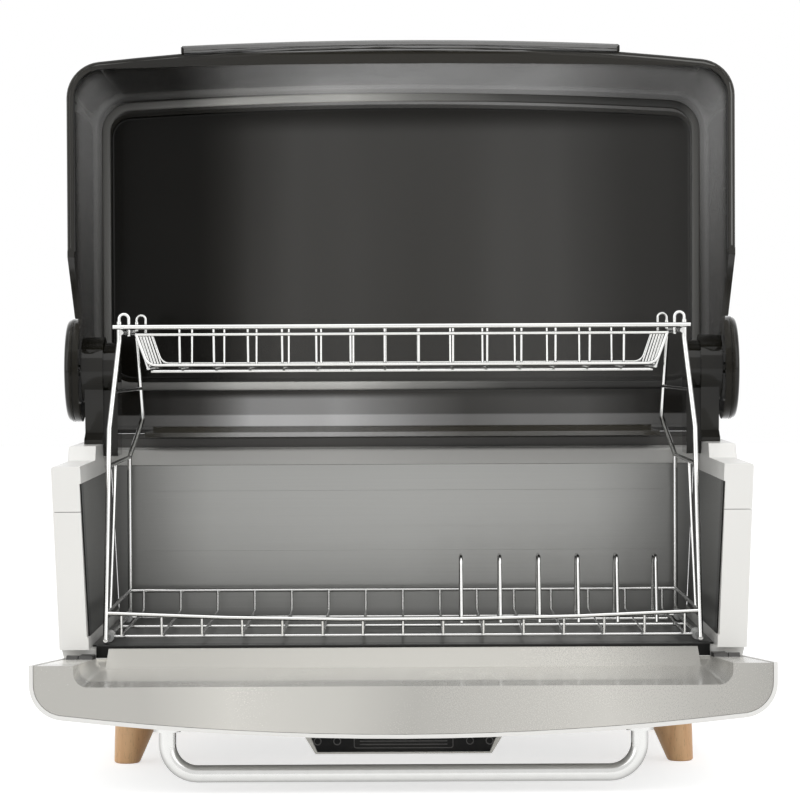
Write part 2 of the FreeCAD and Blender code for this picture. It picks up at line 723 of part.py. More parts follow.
def door_brackets():
    """Lugs on the base's front that carry the door's pins."""
    back, axis = -dim.door_axis_front, dim.door_axis_height
    radius = dim.knuckle_radius
    for name, side in SIDES.items():
        body = new_body(f"door_bracket_{name}")
        start = side * dim.bracket_inside
        arm = sketch_on(body, "YZ_Plane", start)
        box_outline(arm, (back, axis - radius + 1), (dim.base_front - 0.1, axis + radius - 1))
        pad(body, arm, dim.bracket_width, toward=side > 0)
        lug = circle(sketch_on(body, "YZ_Plane", start), (back, axis), radius)
        pad(body, lug, dim.bracket_width, toward=side > 0)
        bore = circle(sketch_on(body, "YZ_Plane", start), (back, axis), dim.door_pin_radius)
        pocket(body, bore, dim.bracket_width, toward=side > 0)
        place(body)

        pin = new_body(f"door_pin_{name}")
        profile = circle(sketch_on(pin, "YZ_Plane", start), (back, axis), dim.door_pin_radius)
        pad(pin, profile, dim.bracket_width + 9, toward=side > 0)
        place(pin)


def foot(label, side, head_back, toe_back):
    """A tapered wooden foot that splays outward, its toe eased at the edge."""
    body = new_body(label)
    toe, head = (side * dim.foot_toe_across, toe_back), (side * dim.foot_head_across, head_back)
    ease = 1.0
    sections = [circle(sketch_on(body, "XY_Plane"), toe, dim.foot_toe_radius - ease)]
    sections.append(circle(sketch_on(body, "XY_Plane", ease), toe, dim.foot_toe_radius))
    top = sketch_on(body, "XY_Plane", dim.base_bottom - 1.2)
    sections.append(circle(top, head, dim.foot_head_radius))
    loft(body, "Additive", sections)
    return place(body)


def feet():
    """Four feet, each under a mounting plate screwed to the base."""
    for name, side in SIDES.items():
        front, rear = dim.foot_front, dim.foot_rear
        foot(f"foot_front_{name}", side, front, front - dim.foot_splay)
        foot(f"foot_rear_{name}", side, rear, rear + dim.foot_splay)
    body = new_body("foot_plates")
    plates = sketch_on(body, "XY_Plane", dim.base_bottom - 1.1)
    for side in SIDES.values():
        for back in (dim.foot_front, dim.foot_rear):
            circle(plates, (side * dim.foot_head_across, back), dim.foot_head_radius + 2)
    pad(body, plates, 1.0)
    place(body)


def controls():
    """The control housing under the front edge, its glass touch panel and its board."""
    bottom, top = dim.chin_bottom, dim.base_bottom - 0.1
    half_top = dim.chin_half_bottom + dim.chin_slope * (top - bottom)
    half = dim.chin_half_bottom
    body = new_body("control_housing")
    corners = [(-half, bottom), (half, bottom), (half_top, top), (-half_top, top)]
    front = sketch_on(body, "XZ_Plane", dim.chin_front)
    pad(body, outline(front, corners), dim.chin_front + dim.chin_back, toward=False)
    swing = [(-dim.chin_front - 5, dim.chin_face_top), (-4, dim.chin_face_top)]
    swing += [(dim.base_front + 2, top + 1), (-dim.chin_front - 5, top + 1)]
    pocket(body, outline(sketch_on(body, "YZ_Plane"), swing), 300, both=True)
    slope = [(dim.chin_back - 26, bottom - 1), (dim.chin_back + 1, bottom - 1)]
    slope += [(dim.chin_back + 1, top - 2)]
    pocket(body, outline(sketch_on(body, "YZ_Plane"), slope), 300, both=True)
    seat = [(-half + 1.2, bottom + 1.2), (half - 1.2, bottom + 1.2)]
    seat += [(half + 9, dim.chin_face_top + 1), (-half - 9, dim.chin_face_top + 1)]
    recess = sketch_on(body, "XZ_Plane", dim.chin_front)
    pocket(body, outline(recess, seat), 1.2, toward=False)
    room = sketch_on(body, "XZ_Plane", dim.chin_front - 3.6)
    box_outline(room, (-half + 5, bottom + 4), (half - 5, dim.chin_face_top - 4))
    pocket(body, room, 30, toward=False)
    dress(body, "Fillet", 1.5, lambda edge: (
        runs_along(edge, Y_AXIS) and near(middle(edge).z, bottom)))
    place(body)

    glass = new_body("control_glass")
    pane = [(-half + 1.4, bottom + 1.4), (half - 1.4, bottom + 1.4)]
    pane += [(half + 7.6, dim.chin_face_top - 0.1), (-half - 7.6, dim.chin_face_top - 0.1)]
    flat = sketch_on(glass, "XZ_Plane", dim.chin_front - 1.15)
    pad(glass, outline(flat, pane), 1.35)
    place(glass)

    board = new_body("control_board")
    flat = sketch_on(board, "XZ_Plane", dim.chin_front - 6)
    box_outline(flat, (-half + 6, bottom + 5), (half - 6, dim.chin_face_top - 5))
    pad(board, flat, 1.6, toward=False)
    place(board)


def blower():
    """Motor, blower wheel and air heater that dry the dishes from below."""
    back = dim.blower_back
    low = dim.base_bottom + dim.skin + 1.5
    motor = new_body("blower_motor")
    stand = circle(sketch_on(motor, "XY_Plane", low), (0, back), 16)
    pad(motor, stand, 5)
    shaft = circle(sketch_on(motor, "XY_Plane", low + 4.9), (0, back), 1.5)
    pad(motor, shaft, 17)
    place(motor)

    wheel = new_body("blower_wheel")
    radius, height = dim.wheel_radius, dim.wheel_height
    disc = circle(sketch_on(wheel, "XY_Plane", low + 6), (0, back), radius)
    circle(disc, (0, back), as_size(1.5) + dim.running_gap)
    pad(wheel, disc, 1.6)
    hub = circle(sketch_on(wheel, "XY_Plane", low + 6), (0, back), 6)
    circle(hub, (0, back), as_size(1.5) + dim.running_gap)
    pad(wheel, hub, height - 4)
    for index in range(12):
        blade = sketch_on(wheel, "XY_Plane", low + 7.5)
        blade.AttachmentOffset = Placement(Vector(0, back.value, 0), Rotation(Z_AXIS, index * 30))
        bind(blade, "AttachmentOffset.Base.y", back)
        bind(blade, "AttachmentOffset.Base.z", low + 7.5)
        box_outline(blade, (radius - 11, -1.0), (radius - 1, 1.0))
        pad(wheel, blade, height - 5)
    place(wheel)

    heater = new_body("air_heater")
    block = sketch_on(heater, "XY_Plane", low + 1)
    box_outline(block, (80, back - 30), (150, back + 30))
    pad(heater, block, 20)
    fins = sketch_on(heater, "XZ_Plane", -(back - 31))
    for index in range(7):
        left = 84 + index * 9.0
        box_outline(fins, (left, low + 4), (left + 5, low + 18))
    pocket(heater, fins, 62, toward=False)
    place(heater)

    gland = new_body("cord_gland")
    ring = circle(sketch_on(gland, "XZ_Plane", -(dim.cabinet_depth + 0.1)), CORD_PLACE, 8)
    pad(gland, ring, 3, toward=False)
    mouth = circle(sketch_on(gland, "XZ_Plane", -(dim.cabinet_depth - 1)), CORD_PLACE, 4)
    pocket(gland, mouth, 8, toward=False)
    place(gland)


# --- Lid ----------------------------------------------------------------------------------------

def lid_plan(body, height, half, front, bow, grow):
    """The lid's bow-front plan at a height, grown or shrunk all round."""
    sketch = sketch_on(body, "XY_Plane", height)
    return bow_plan(sketch, half + grow, front + grow, dim.lid_back + grow, bow,
                    dim.lid_corner + grow, dim.lid_rear_corner + grow)


def rim_plan(body, height, grow):
    """The lid's plan at its rim."""
    return lid_plan(body, height, dim.lid_half_width, dim.lid_front, dim.front_bow,
                    as_size(grow))


def lid_sections(body, rim, top, grow, round_by):
    """The lid's plans from rim to shoulder, whose edge is rounded in two steps."""
    half, front = dim.lid_head_half, dim.lid_front - dim.lid_draft
    rounding = ((-1.2 * round_by, 0.0), (-0.4 * round_by, -0.32 * round_by),
                (0.0, -round_by))
    return [rim_plan(body, rim, grow)] + [
        lid_plan(body, top + drop, half, front, dim.shoulder_bow, grow + inset)
        for drop, inset in rounding]


def crown_sections(body, low, top, grow, round_by):
    """The crown panel's plans, with a rounded top edge."""
    steps = ((low, 0.0), (top - round_by, 0.0), (top - 0.27 * round_by, -0.27 * round_by),
             (top, -round_by))
    sections = []
    for height, inset in steps:
        size = grow + inset
        sections.append(bow_plan(
            sketch_on(body, "XY_Plane", height), dim.crown_half_width + size,
            dim.crown_front + size, dim.crown_back + size, dim.shoulder_bow,
            dim.crown_radius + size, dim.crown_radius + size))
    return sections


def lid_shell():
    """The smoked lid: a bow-front hood with a flanged rim, a stepped crown and two hubs."""
    body = new_body("lid_shell")
    rim, shoulder, wall = -dim.lid_rim, dim.lid_shoulder, dim.lid_wall
    loft(body, "Additive", lid_sections(body, rim, shoulder, as_size(0), 5.0))
    bead = [rim_plan(body, rim + rise, grow)
            for rise, grow in ((0.0, 0.6), (1.2, dim.bead_width), (3.8, dim.bead_width),
                               (5.0, -0.5))]
    loft(body, "Additive", bead)
    loft(body, "Additive", crown_sections(body, shoulder - 1, dim.lid_crown, as_size(0), 3.0))
    loft(body, "Subtractive", lid_sections(body, rim + dim.flange_thick, shoulder - wall,
                                           -wall, 2.5))
    loft(body, "Subtractive", crown_sections(body, shoulder - wall - 1,
                                             dim.lid_crown - wall, -wall, 1.5))
    opening = bow_plan(sketch_on(body, "XY_Plane", rim - 1), dim.lid_half_width - wall - 0.4,
                       dim.flange_front, dim.lid_back - wall, dim.flange_bow,
                       dim.lid_corner - wall, dim.lid_rear_corner - wall)
    pocket(body, opening, dim.flange_thick + 2, toward=True)
    cut_lid_rim(body)
    lid_hubs(body)
    tongue_bead(body)
    return place_on_lid(body)


def tongue_bead(body):
    """A thick edge along the back wall's lower end."""
    back, low = dim.lid_back - dim.lid_wall, -dim.tail_drop
    corners = [(back + 0.5, low), (back + 0.5, low + 5), (back - 3, low + 4)]
    corners += [(back - 4.5, low + 2.5), (back - 3.5, low)]
    profile = outline(sketch_on(body, "YZ_Plane"), corners)
    pad(body, profile, dim.tail_half_width * 2 - 12, both=True)


def cut_lid_rim(body):
    """Trim the rim: a back tongue between the arms, and sides cut clear of arms and rack."""
    rim, drop = -dim.lid_rim, -dim.tail_drop
    tongue = [(-30, rim - 5), (dim.lid_back + 9, rim - 5), (dim.lid_back + 9, drop)]
    tongue += [(-30, drop)]
    pocket(body, outline(sketch_on(body, "YZ_Plane"), tongue), dim.tail_half_width * 2,
           both=True)
    rise = [(-80, rim - 5), (dim.lid_back + 9, rim - 5), (dim.lid_back + 9, 56)]
    rise += [(31, 25), (31, 4), (-37, -11.5), (-80, rim)]
    edge = [(-84.8, rim), (-80, rim), (-37, -11.5), (-39.7, -9.1)]
    for side in SIDES.values():
        plane = sketch_on(body, "YZ_Plane", side * dim.tail_half_width)
        pocket(body, outline(plane, rise), 80, toward=side > 0)
        strip = sketch_on(body, "YZ_Plane", side * (dim.lid_head_half + 1))
        pad(body, outline(strip, edge),
            dim.lid_half_width - dim.lid_head_half + dim.bead_width - 1, toward=side > 0)


def lid_hubs(body):
    """Round hubs outside the arm barrels, bored for the hinge pins."""
    for side in SIDES.values():
        away = side > 0
        gap = sketch_on(body, "YZ_Plane", side * (dim.arm_inside - 15))
        pocket(body, circle(gap, (0, 0), dim.barrel_radius + 2),
               dim.hub_inside - dim.arm_inside + 15, toward=away)
        disc = sketch_on(body, "YZ_Plane", side * dim.hub_inside)
        pad(body, circle(disc, (0, 0), dim.hub_radius), dim.hub_outside - dim.hub_inside,
            toward=away)
        bore = sketch_on(body, "YZ_Plane", side * dim.hub_inside)
        pocket(body, circle(bore, (0, 0), dim.pin_radius + dim.running_gap),
               dim.hub_outside - dim.hub_inside, toward=away)
        groove = sketch_on(body, "YZ_Plane", side * (dim.hub_outside - 2.6))
        circle(groove, (0, 0), dim.hub_radius + 3)
        circle(groove, (0, 0), dim.hub_radius - 1.2)
        pocket(body, groove, 1.2, toward=away)


def hub_cap(name, side):
    """The domed disc that hides a hinge pin."""
    body = new_body(f"hub_cap_{name}")
    start = sketch_on(body, "YZ_Plane", side * (dim.hub_outside + 0.05))
    circle(start, (0, 0), dim.hub_radius - 0.5)
    pad(body, start, dim.cap_outside - dim.hub_outside - 0.05, toward=side > 0)
    dress(body, "Fillet", 3.0, lambda edge: near(abs(middle(edge).x), dim.cap_outside))
    return place_on_lid(body)


def lid_grip():
    """The finger grip along the lid's front rim."""
    body = new_body("lid_grip")
    half, front, rim = dim.grip_half_width, dim.grip_front, -dim.lid_rim
    bow = dim.grip_bow
    inner = dim.lid_front + dim.front_bow
    reach = dim.grip_half_width / dim.lid_half_width
    sag = dim.front_bow * reach * reach
    corners = [(half, -inner + sag), (-half, -inner + sag), (-half, -front + bow)]
    corners += [(half, -front + bow)]
    plan = sketch_on(body, "XY_Plane", rim)
    outline(plan, corners, {2: (bow, half)})
    pad(body, plan, dim.grip_height)
    shell = rim_plan(body, rim - 1, dim.bead_width)
    pocket(body, shell, dim.grip_height + 2)
    dress(body, "Fillet", 1.4, lambda edge: (
        middle(edge).y < -front.value + 2.5 and edge.BoundBox.XLength > 50))
    return place_on_lid(body)


# --- Door ---------------------------------------------------------------------------------------

def door_half_at(height):
    """Half width of the door at a height over its axis."""
    rise = (height + dim.door_tail) / (dim.door_length + dim.door_tail)
    return dim.door_foot_half + (dim.door_head_half - dim.door_foot_half) * rise


def door_plan(body, height, inset):
    """The door's bow-front plan at a height, set in from its outer face."""
    sketch = sketch_on(body, "XY_Plane", height)
    return bow_plan(sketch, door_half_at(height) - inset, dim.door_face - inset, 30,
                    dim.front_bow + 0.6, dim.door_corner - inset, 6)


def trim_door_rim(body, lower):
    """Cut the door's back along a line that follows the leaning front of the walls."""
    foot, head = dim.door_rim_foot - lower, dim.door_rim_head - lower
    corners = [(foot, -dim.door_tail), (45, -dim.door_tail), (45, dim.door_length)]
    corners += [(head, dim.door_length)]
    pocket(body, outline(sketch_on(body, "YZ_Plane"), corners), 600, both=True)


def door_shell():
    """The door's white outer shell, open at its free edge."""
    body = new_body("door_shell")
    low, high, skin = -dim.door_tail, dim.door_length, dim.door_skin
    loft(body, "Additive", [door_plan(body, height, as_size(0)) for height in (low, high)])
    hollow = [door_plan(body, height, skin) for height in (low + skin, high + 1)]
    loft(body, "Subtractive", hollow)
    trim_door_rim(body, 0)
    notch_door(body, low - 1, skin + 2, dim.bracket_width + 2.4)
    holes = sketch_on(body, "XZ_Plane", dim.door_face - 2)
    for side in SIDES.values():
        circle(holes, (side * dim.handle_half_width, dim.handle_height),
               dim.handle_radius + 0.1)
    pocket(body, holes, 30)
    return place_on_door(body)


def notch_door(body, low, height, width):
    """Clear the door round the fixed brackets for its whole swing."""
    for side in SIDES.values():
        notch = sketch_on(body, "YZ_Plane", side * (dim.bracket_inside - 1.2))
        box_outline(notch, (-9.5, low), (30, low + height))
        pocket(body, notch, width, toward=side > 0)


def door_liner():
    """The satin inner moulding: a scoop between raised sides, with a ridge at the hinge."""
    body = new_body("door_liner")
    inset = dim.door_skin + 0.2
    low, high = -dim.door_tail + inset, dim.door_length - 0.8
    loft(body, "Additive", [door_plan(body, height, inset) for height in (low, high)])
    trim_door_rim(body, 0.4)
    half, floor = dim.scoop_half_width, dim.door_rim_head - dim.scoop_depth
    scoop = [(floor, high + 5), (floor, 16), (dim.door_rim_foot - 1, low + 4)]
    scoop += [(30, low + 4), (30, high + 5)]
    pocket(body, outline(sketch_on(body, "YZ_Plane"), scoop), half * 2, both=True)
    dress(body, "Fillet", 9.0, lambda edge: (
        near(abs(middle(edge).x), half) and near(middle(edge).y, floor)
        and edge.Length > 60))
    hollow = sketch_on(body, "XZ_Plane", -floor + 3)
    box_outline(hollow, (-half + 6, low + 4), (half - 6, high - 5))
    pocket(body, hollow, 60, toward=True)
    ridge, crest = sketch_on(body, "YZ_Plane"), dim.ridge_height
    outline(ridge, [(-2.5, low + 0.3), (crest - 1.4, low + 0.3), (crest, low + 1.7),
                    (crest - 0.4, low + 3.4), (-1.5, 17.5), (-2.5, 17.5)])
    pad(body, ridge, dim.ridge_half_width * 2, both=True)
    notch_door(body, low - 1, 10.5 - low, dim.bracket_width + 12)
    return place_on_door(body)


def door_knuckles():
    """Bored lugs on the door that turn on the bracket pins."""
    for name, side in SIDES.items():
        body = new_body(f"door_knuckle_{name}")
        start = side * (dim.bracket_inside + dim.bracket_width + 0.6)
        lug = circle(sketch_on(body, "YZ_Plane", start), (0, 0), dim.knuckle_radius)
        pad(body, lug, 7.5, toward=side > 0)
        web = box_outline(sketch_on(body, "YZ_Plane", start), (-9.5, -4), (0, 4))
        pad(body, web, 7.5, toward=side > 0)
        bore = sketch_on(body, "YZ_Plane", start)
        pocket(body, circle(bore, (0, 0), dim.door_pin_radius + dim.running_gap), 7.5,
               toward=side > 0)
        place_on_door(body)


def door_handle():
    """The bent tube across the door, with a collar round each leg."""
    body = new_body("door_handle")
    half, reach, bend = dim.handle_half_width, dim.handle_reach, dim.handle_bend
    root = dim.door_face + 5.6
    path = sketch_on(body, "XY_Plane", dim.handle_height)
    points = [(-half, -root), (-half, -reach + bend), (-half + bend, -reach)]
    points += [(half - bend, -reach), (half, -reach + bend), (half, -root)]
    vectors = [Vector(x.value, y.value, 0) for x, y in points]
    quarter = bend.value * 0.5 ** 0.5
    for index, sign in ((0, -1), (2, 0), (4, 1)):
        path.addGeometry(Part.LineSegment(vectors[index], vectors[index + 1]), False)
    for start, end, sign in ((1, 2, -1), (3, 4, 1)):
        centre_x = sign * (half.value - bend.value)
        centre_y = -reach.value + bend.value
        top = Vector(centre_x + sign * quarter, centre_y - quarter, 0)
        path.addGeometry(Part.Arc(vectors[start], top, vectors[end]), False)
    for line, ends in ((0, (0, 1)), (1, (2, 3)), (2, (4, 5))):
        for position, index in enumerate(ends, start=1):
            place_point(path, line, position, points[index])
    for arc, (before, after) in ((3, (0, 1)), (4, (1, 2))):
        path.addConstraint(Sketcher.Constraint("Coincident", before, 2, arc, 1))
        path.addConstraint(Sketcher.Constraint("Coincident", after, 1, arc, 2))
        link = Sketcher.Constraint("Radius", arc, bend.value)
        bind(path, f"Constraints[{path.addConstraint(link)}]", bend)
    ring = sketch_on(body, "XZ_Plane", root)
    circle(ring, (-half, dim.handle_height), dim.handle_radius)
    pipe = body.newObject("PartDesign::AdditivePipe", "handle_tube")
    pipe.Profile = ring
    pipe.Spine = path
    place_on_door(body)

    collars = new_body("handle_collars")
    start = sketch_on(collars, "XZ_Plane", dim.door_face + 9.7)
    for side in SIDES.values():
        centre = (side * half, dim.handle_height)
        circle(start, centre, dim.handle_radius + 3.2)
        circle(start, centre, dim.handle_radius + 0.1)
    pad(collars, start, 3.0)
    place_on_door(collars)


# --- Rack and basket ----------------------------------------------------------------------------

def rack_sides():
    """A side frame of bent wire: two hooked uprights, four rails, a brace and its sleeves.

    The topmost rail carries the basket's bars; rubber sleeves under the foot rail stand on
    the floor tray.
    """
    heavy, light = dim.heavy_wire.value, dim.light_wire.value
    middling = dim.rail_wire.value
    half, floor = dim.rack_half_width.value, dim.rack_floor.value
    front, rear = dim.rack_front.value, dim.rack_rear.value
    low, high, top = dim.tie_low.value, dim.tie_high.value, dim.hook_top.value
    rail, shelf = dim.rail_height.value, dim.basket_rim.value - heavy - 0.3
    for name, side in SIDES.items():
        def at(across, back, height, side=side):
            return Vector(side * across, back, height)
        front_up = [at(half, front, floor), at(half, 46, 225), at(193.5, 64.4, 285),
                    at(193.5, 64.4, 298)]
        rear_up = [at(half, rear, floor), at(half, rear - 1, low), at(188.5, 194, 228),
                   at(192.2, 190, 285), at(192.2, 190, 298)]
        wires = [bent_wire(front_up, heavy, 4), bent_wire(rear_up, heavy, 4)]
        for across, back in ((193.5, 64.4), (192.2, 190)):
            hook = [at(across, back, 296), at(across, back, top),
                    at(across - 6.6, back, top), at(across - 6.6, back, 288)]
            wires.append(bent_wire(hook, light, 3.2))
        wires.append(straight_wire(at(half, front, floor), at(half, rear, floor), heavy))
        wires.append(straight_wire(at(half, 12.6, rail), at(half, rear, rail), middling))
        wires.append(straight_wire(at(half, 39, low), at(half, rear - 1, low), middling))
        wires.append(straight_wire(at(197, 53, high), at(189.4, 192.5, high), light))
        wires.append(straight_wire(at(half, 43, rail), at(half, 92, low), light))
        wires.append(straight_wire(at(191.6, 55, shelf), at(191.6, 199, shelf), heavy))
        new_feature(f"rack_side_{name}", weld(wires))
    sleeves = []
    for side in SIDES.values():
        for back in (30, 176):
            start = Vector(side * half, back, floor)
            tube = Part.makeCylinder(3.6, 14, start, Y_AXIS)
            sleeves.append(tube.cut(Part.makeCylinder(heavy / 2, 14, start, Y_AXIS)))
    new_feature("rack_feet", Part.makeCompound(sleeves))


def rack_grid():
    """The rack's floor of crosswise-laid wires, turned up at the front and rear rails."""
    light, grid = dim.light_wire.value, dim.grid_wire.value
    half, floor, rail = dim.rack_half_width.value, dim.rack_floor.value, dim.rail_height.value
    front, rear, pitch = dim.rack_front.value + 5, dim.rack_rear.value, dim.rack_pitch.value
    over, dip, middling = floor + 2.6, dim.rail_dip.value, dim.rail_wire.value
    dipping = [Vector(share * half, front, rail - dip * (1 - share * share))
               for share in (-1, -0.6, -0.2, 0.2, 0.6, 1)]
    level = [Vector(-half, rear - 3, rail), Vector(half, rear - 3, rail)]
    for label, turn, knots, bar in (
            ("rack_front_rail", 1, dipping, bent_wire(dipping, middling, dim.rail_bend.value)),
            ("rack_rear_rail", -1, level, straight_wire(*level, middling))):
        rods, back = [bar], knots[0].y
        for index in range(-7, 8):
            across = index * pitch
            foot = Vector(across, back + turn * 2.4, over)
            head = Vector(across, back + turn * 1.8, height_along(knots, across))
            rods.append(straight_wire(foot, head, grid))
        new_feature(label, weld(rods))
    rods = []
    for index in range(-7, 8):
        start = Vector(index * pitch, front + 2.4, over)
        end = Vector(index * pitch, rear - 5.4, over)
        rods.append(straight_wire(start, end, grid))
    for back in (34, 106, 178):
        rods.append(straight_wire(Vector(-half, back, floor), Vector(half, back, floor), light))
    new_feature("rack_floor", weld(rods))
    pegs = []
    for index in range(1, 7):
        across = (index + 0.5) * pitch
        pegs.append(bent_wire([Vector(across, 78, over + 1.5), Vector(across, 88, 134),
                               Vector(across, 112, 134), Vector(across, 122, over + 1.5)],
                              light, 7))
    ties = [straight_wire(Vector(pitch * 1.2, back, over), Vector(pitch * 6.9, back, over), light)
            for back in (78, 122)]
    new_feature("plate_dividers", Part.makeCompound(pegs + ties))


def basket():
    """The hanging basket: carrying bars, a rim and welded grids on five sides."""
    heavy, light = dim.heavy_wire.value, dim.light_wire.value
    front, rear = dim.basket_front.value, dim.basket_rear.value
    carry, rim, floor = dim.basket_rim.value, dim.basket_lower_rim.value, dim.basket_floor.value
    half_top, half_floor = dim.basket_half_top.value, dim.basket_half_floor.value
    pitch, tuck = dim.basket_pitch.value, 6.0
    grid = dim.grid_wire.value
    columns = [(index + 0.5) * pitch for index in range(-8, 8) if abs(index + 0.5) * pitch < 170]
    for label, back, turn, reach in (("basket_front", front, 1, 197.5),
                                     ("basket_rear", rear, -1, 193.0)):
        foot = back + turn * tuck
        rim_back, foot_back = back + turn * 0.8, foot - turn * 2.4
        frame = [Vector(across, rim_back, rim) for across in (-half_top, half_top)]
        frame[1:1] = [Vector(across, foot_back, floor + 2)
                      for across in (-half_floor, half_floor)]
        wires = [straight_wire(Vector(-reach, back, carry), Vector(reach, back, carry), heavy),
                 straight_wire(frame[0], frame[3], light), bent_wire(frame, light, 8)]
        for across in columns:
            wires.append(bent_wire([Vector(across, back + turn * 1.6, carry),
                                    Vector(across, foot, floor),
                                    Vector(across, foot + turn * 4.3, floor)], grid, 3.4))
        new_feature(label, weld(wires))
    wires = []
    for across in columns:
        start, end = front + tuck + 4.3, rear - tuck - 4.3
        wires.append(straight_wire(Vector(across, start, floor), Vector(across, end, floor),
                                   grid))
    for back in (front + 32, (front + rear) / 2, rear - 32):
        wires.append(straight_wire(Vector(-half_floor, back, floor - 2.6),
                                   Vector(half_floor, back, floor - 2.6), light))
    new_feature("basket_floor", weld(wires))
    for name, side in SIDES.items():
        start, end = front + tuck, rear - tuck
        top = [Vector(side * half_top, front + 1, rim), Vector(side * half_top, rear - 1, rim)]
        wires = [straight_wire(top[0], top[1], light)]
        low = [Vector(side * half_floor, start, floor), Vector(side * half_floor, end, floor)]
        wires.append(straight_wire(low[0], low[1], light))
        for step in range(6):
            back = start + (end - start) * step / 5
            wires.append(straight_wire(Vector(side * half_floor, back, floor),
                                       Vector(side * half_top, back, rim), grid))
        new_feature(f"basket_end_{name}", weld(wires))


# --- Assembly -----------------------------------------------------------------------------------

def build():
    """Make every sub-part."""
    base_housing()
    bottom_cover()
    floor_tray()
    front_sill()
    side_walls()
    back_wall()
    for name, side in SIDES.items():
        hinge_arm(name, side)
        hinge_pin(name, side)
        hub_cap(name, side)
    door_brackets()
    feet()
    controls()
    blower()
    lid_shell()
    lid_grip()
    door_shell()
    door_liner()
    door_knuckles()
    door_handle()
    for piece_maker in (rack_sides, rack_grid, basket):
        first = len(PIECES)
        piece_maker()
        for piece in PIECES[first:]:
            place(piece)


def check_and_export():
    """Stop on any failed feature or bad shape, then write one STEP file per sub-part."""
    doc.recompute()
    for item in doc.Objects:
        if "Invalid" in item.State or "Error" in item.State:
            raise RuntimeError(f"{item.Label} failed: {item.State}")
    for piece in PIECES:
        if piece.Shape.isNull() or not piece.Shape.isValid():
            raise RuntimeError(f"{piece.Label} has no valid shape")
    os.makedirs("parts", exist_ok=True)
    for piece in PIECES:
        piece.Shape.exportStep(f"parts/{piece.Label}.step")
        print(piece.Label, len(piece.Shape.Solids), round(piece.Shape.Volume / 1000, 2))
    whole = Part.makeCompound([piece.Shape for piece in PIECES]).BoundBox
    print("whole", whole)


build()
check_and_export()
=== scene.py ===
"""Looks of a countertop dish sterilizer cabinet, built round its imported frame."""

import json
import logging
import math
from dataclasses import dataclass
from enum import Enum
from typing import Any, Callable, Iterable, Optional, Union

import bpy
from mathutils import Matrix, Vector

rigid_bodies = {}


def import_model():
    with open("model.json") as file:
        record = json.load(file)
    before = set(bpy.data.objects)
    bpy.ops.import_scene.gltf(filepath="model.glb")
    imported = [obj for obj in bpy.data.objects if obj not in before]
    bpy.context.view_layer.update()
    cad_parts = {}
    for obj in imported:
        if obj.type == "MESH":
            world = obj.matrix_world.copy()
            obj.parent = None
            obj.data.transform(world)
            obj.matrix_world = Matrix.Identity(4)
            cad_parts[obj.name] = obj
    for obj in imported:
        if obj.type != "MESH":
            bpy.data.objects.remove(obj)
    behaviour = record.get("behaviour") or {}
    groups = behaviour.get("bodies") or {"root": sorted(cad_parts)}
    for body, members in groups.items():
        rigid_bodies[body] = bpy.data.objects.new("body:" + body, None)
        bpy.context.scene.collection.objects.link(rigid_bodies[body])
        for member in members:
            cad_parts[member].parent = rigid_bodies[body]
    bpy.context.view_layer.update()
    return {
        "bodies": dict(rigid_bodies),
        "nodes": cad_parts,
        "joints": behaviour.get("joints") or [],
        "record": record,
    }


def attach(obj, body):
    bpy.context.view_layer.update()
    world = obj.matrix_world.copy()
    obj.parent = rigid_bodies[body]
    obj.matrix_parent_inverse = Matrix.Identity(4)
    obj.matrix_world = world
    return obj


log = logging.getLogger("cabinet")

Material = bpy.types.Material
Colour = tuple[float, float, float]
Place = tuple[float, float, float]
Stops = tuple[tuple[float, float], ...]
Input = Union["Signal", float, int, tuple]
Finishes = dict[str, Material]

SOFT, FINE = 2.0, 4.0       # detail of slow patches and of fine lines
NEAR = 1e-5                 # how close a point counts as being on a plane
BY_Y = (math.pi / 2, 0.0, 0.0)      # turns a flat shape or a cylinder to face along Y


def shade(colour: Colour, share: float) -> Colour:
    """A colour with each channel times a share."""
    return tuple(channel * share for channel in colour)


# --- Shader graphs ---

@dataclass
class Signal:
    """One output socket of a shader graph, on which sums are written as Python expressions."""

    graph: "Graph"
    socket: bpy.types.NodeSocket

    def _with(self, operation: str, other: Input, swapped: bool = False) -> "Signal":
        """Add a Math node over this signal and another value, which may come first."""
        pair = (other, self) if swapped else (self, other)
        return self.graph.add("ShaderNodeMath", {"operation": operation},
                              {0: pair[0], 1: pair[1]})

    def __add__(self, other: Input) -> "Signal":
        """Sum."""
        return self._with("ADD", other)

    __radd__ = __add__

    def __sub__(self, other: Input) -> "Signal":
        """Difference."""
        return self._with("SUBTRACT", other)

    def __rsub__(self, other: Input) -> "Signal":
        """Difference from a value."""
        return self._with("SUBTRACT", other, swapped=True)

    def __mul__(self, other: Input) -> "Signal":
        """Product."""
        return self._with("MULTIPLY", other)

    __rmul__ = __mul__

    def __truediv__(self, other: Input) -> "Signal":
        """Quotient."""
        return self._with("DIVIDE", other)

    def most(self, other: Input) -> "Signal":
        """The larger of two values."""
        return self._with("MAXIMUM", other)

    def size(self) -> "Signal":
        """Value without its sign."""
        return self.graph.add("ShaderNodeMath", {"operation": "ABSOLUTE"}, {0: self})

    def step(self, low: float, high: float, to_low: float = 0.0,
             to_high: float = 1.0) -> "Signal":
        """Map low..high smoothly to to_low..to_high, clamped; high may be the smaller."""
        return self.graph.add("ShaderNodeMapRange", {"interpolation_type": "SMOOTHSTEP"},
                              {"Value": self, "From Min": low, "From Max": high,
                               "To Min": to_low, "To Max": to_high})

    def other(self, output: Union[str, int]) -> "Signal":
        """Another output of the same node."""
        return Signal(self.graph, self.socket.node.outputs[output])


@dataclass(frozen=True)
class Fade:
    """A smooth change of level between two places."""

    start: float
    end: float
    low: float = 0.0
    high: float = 1.0

    def over(self, value: Signal) -> Signal:
        """The level at a value."""
        return value.step(self.start, self.end, self.low, self.high)


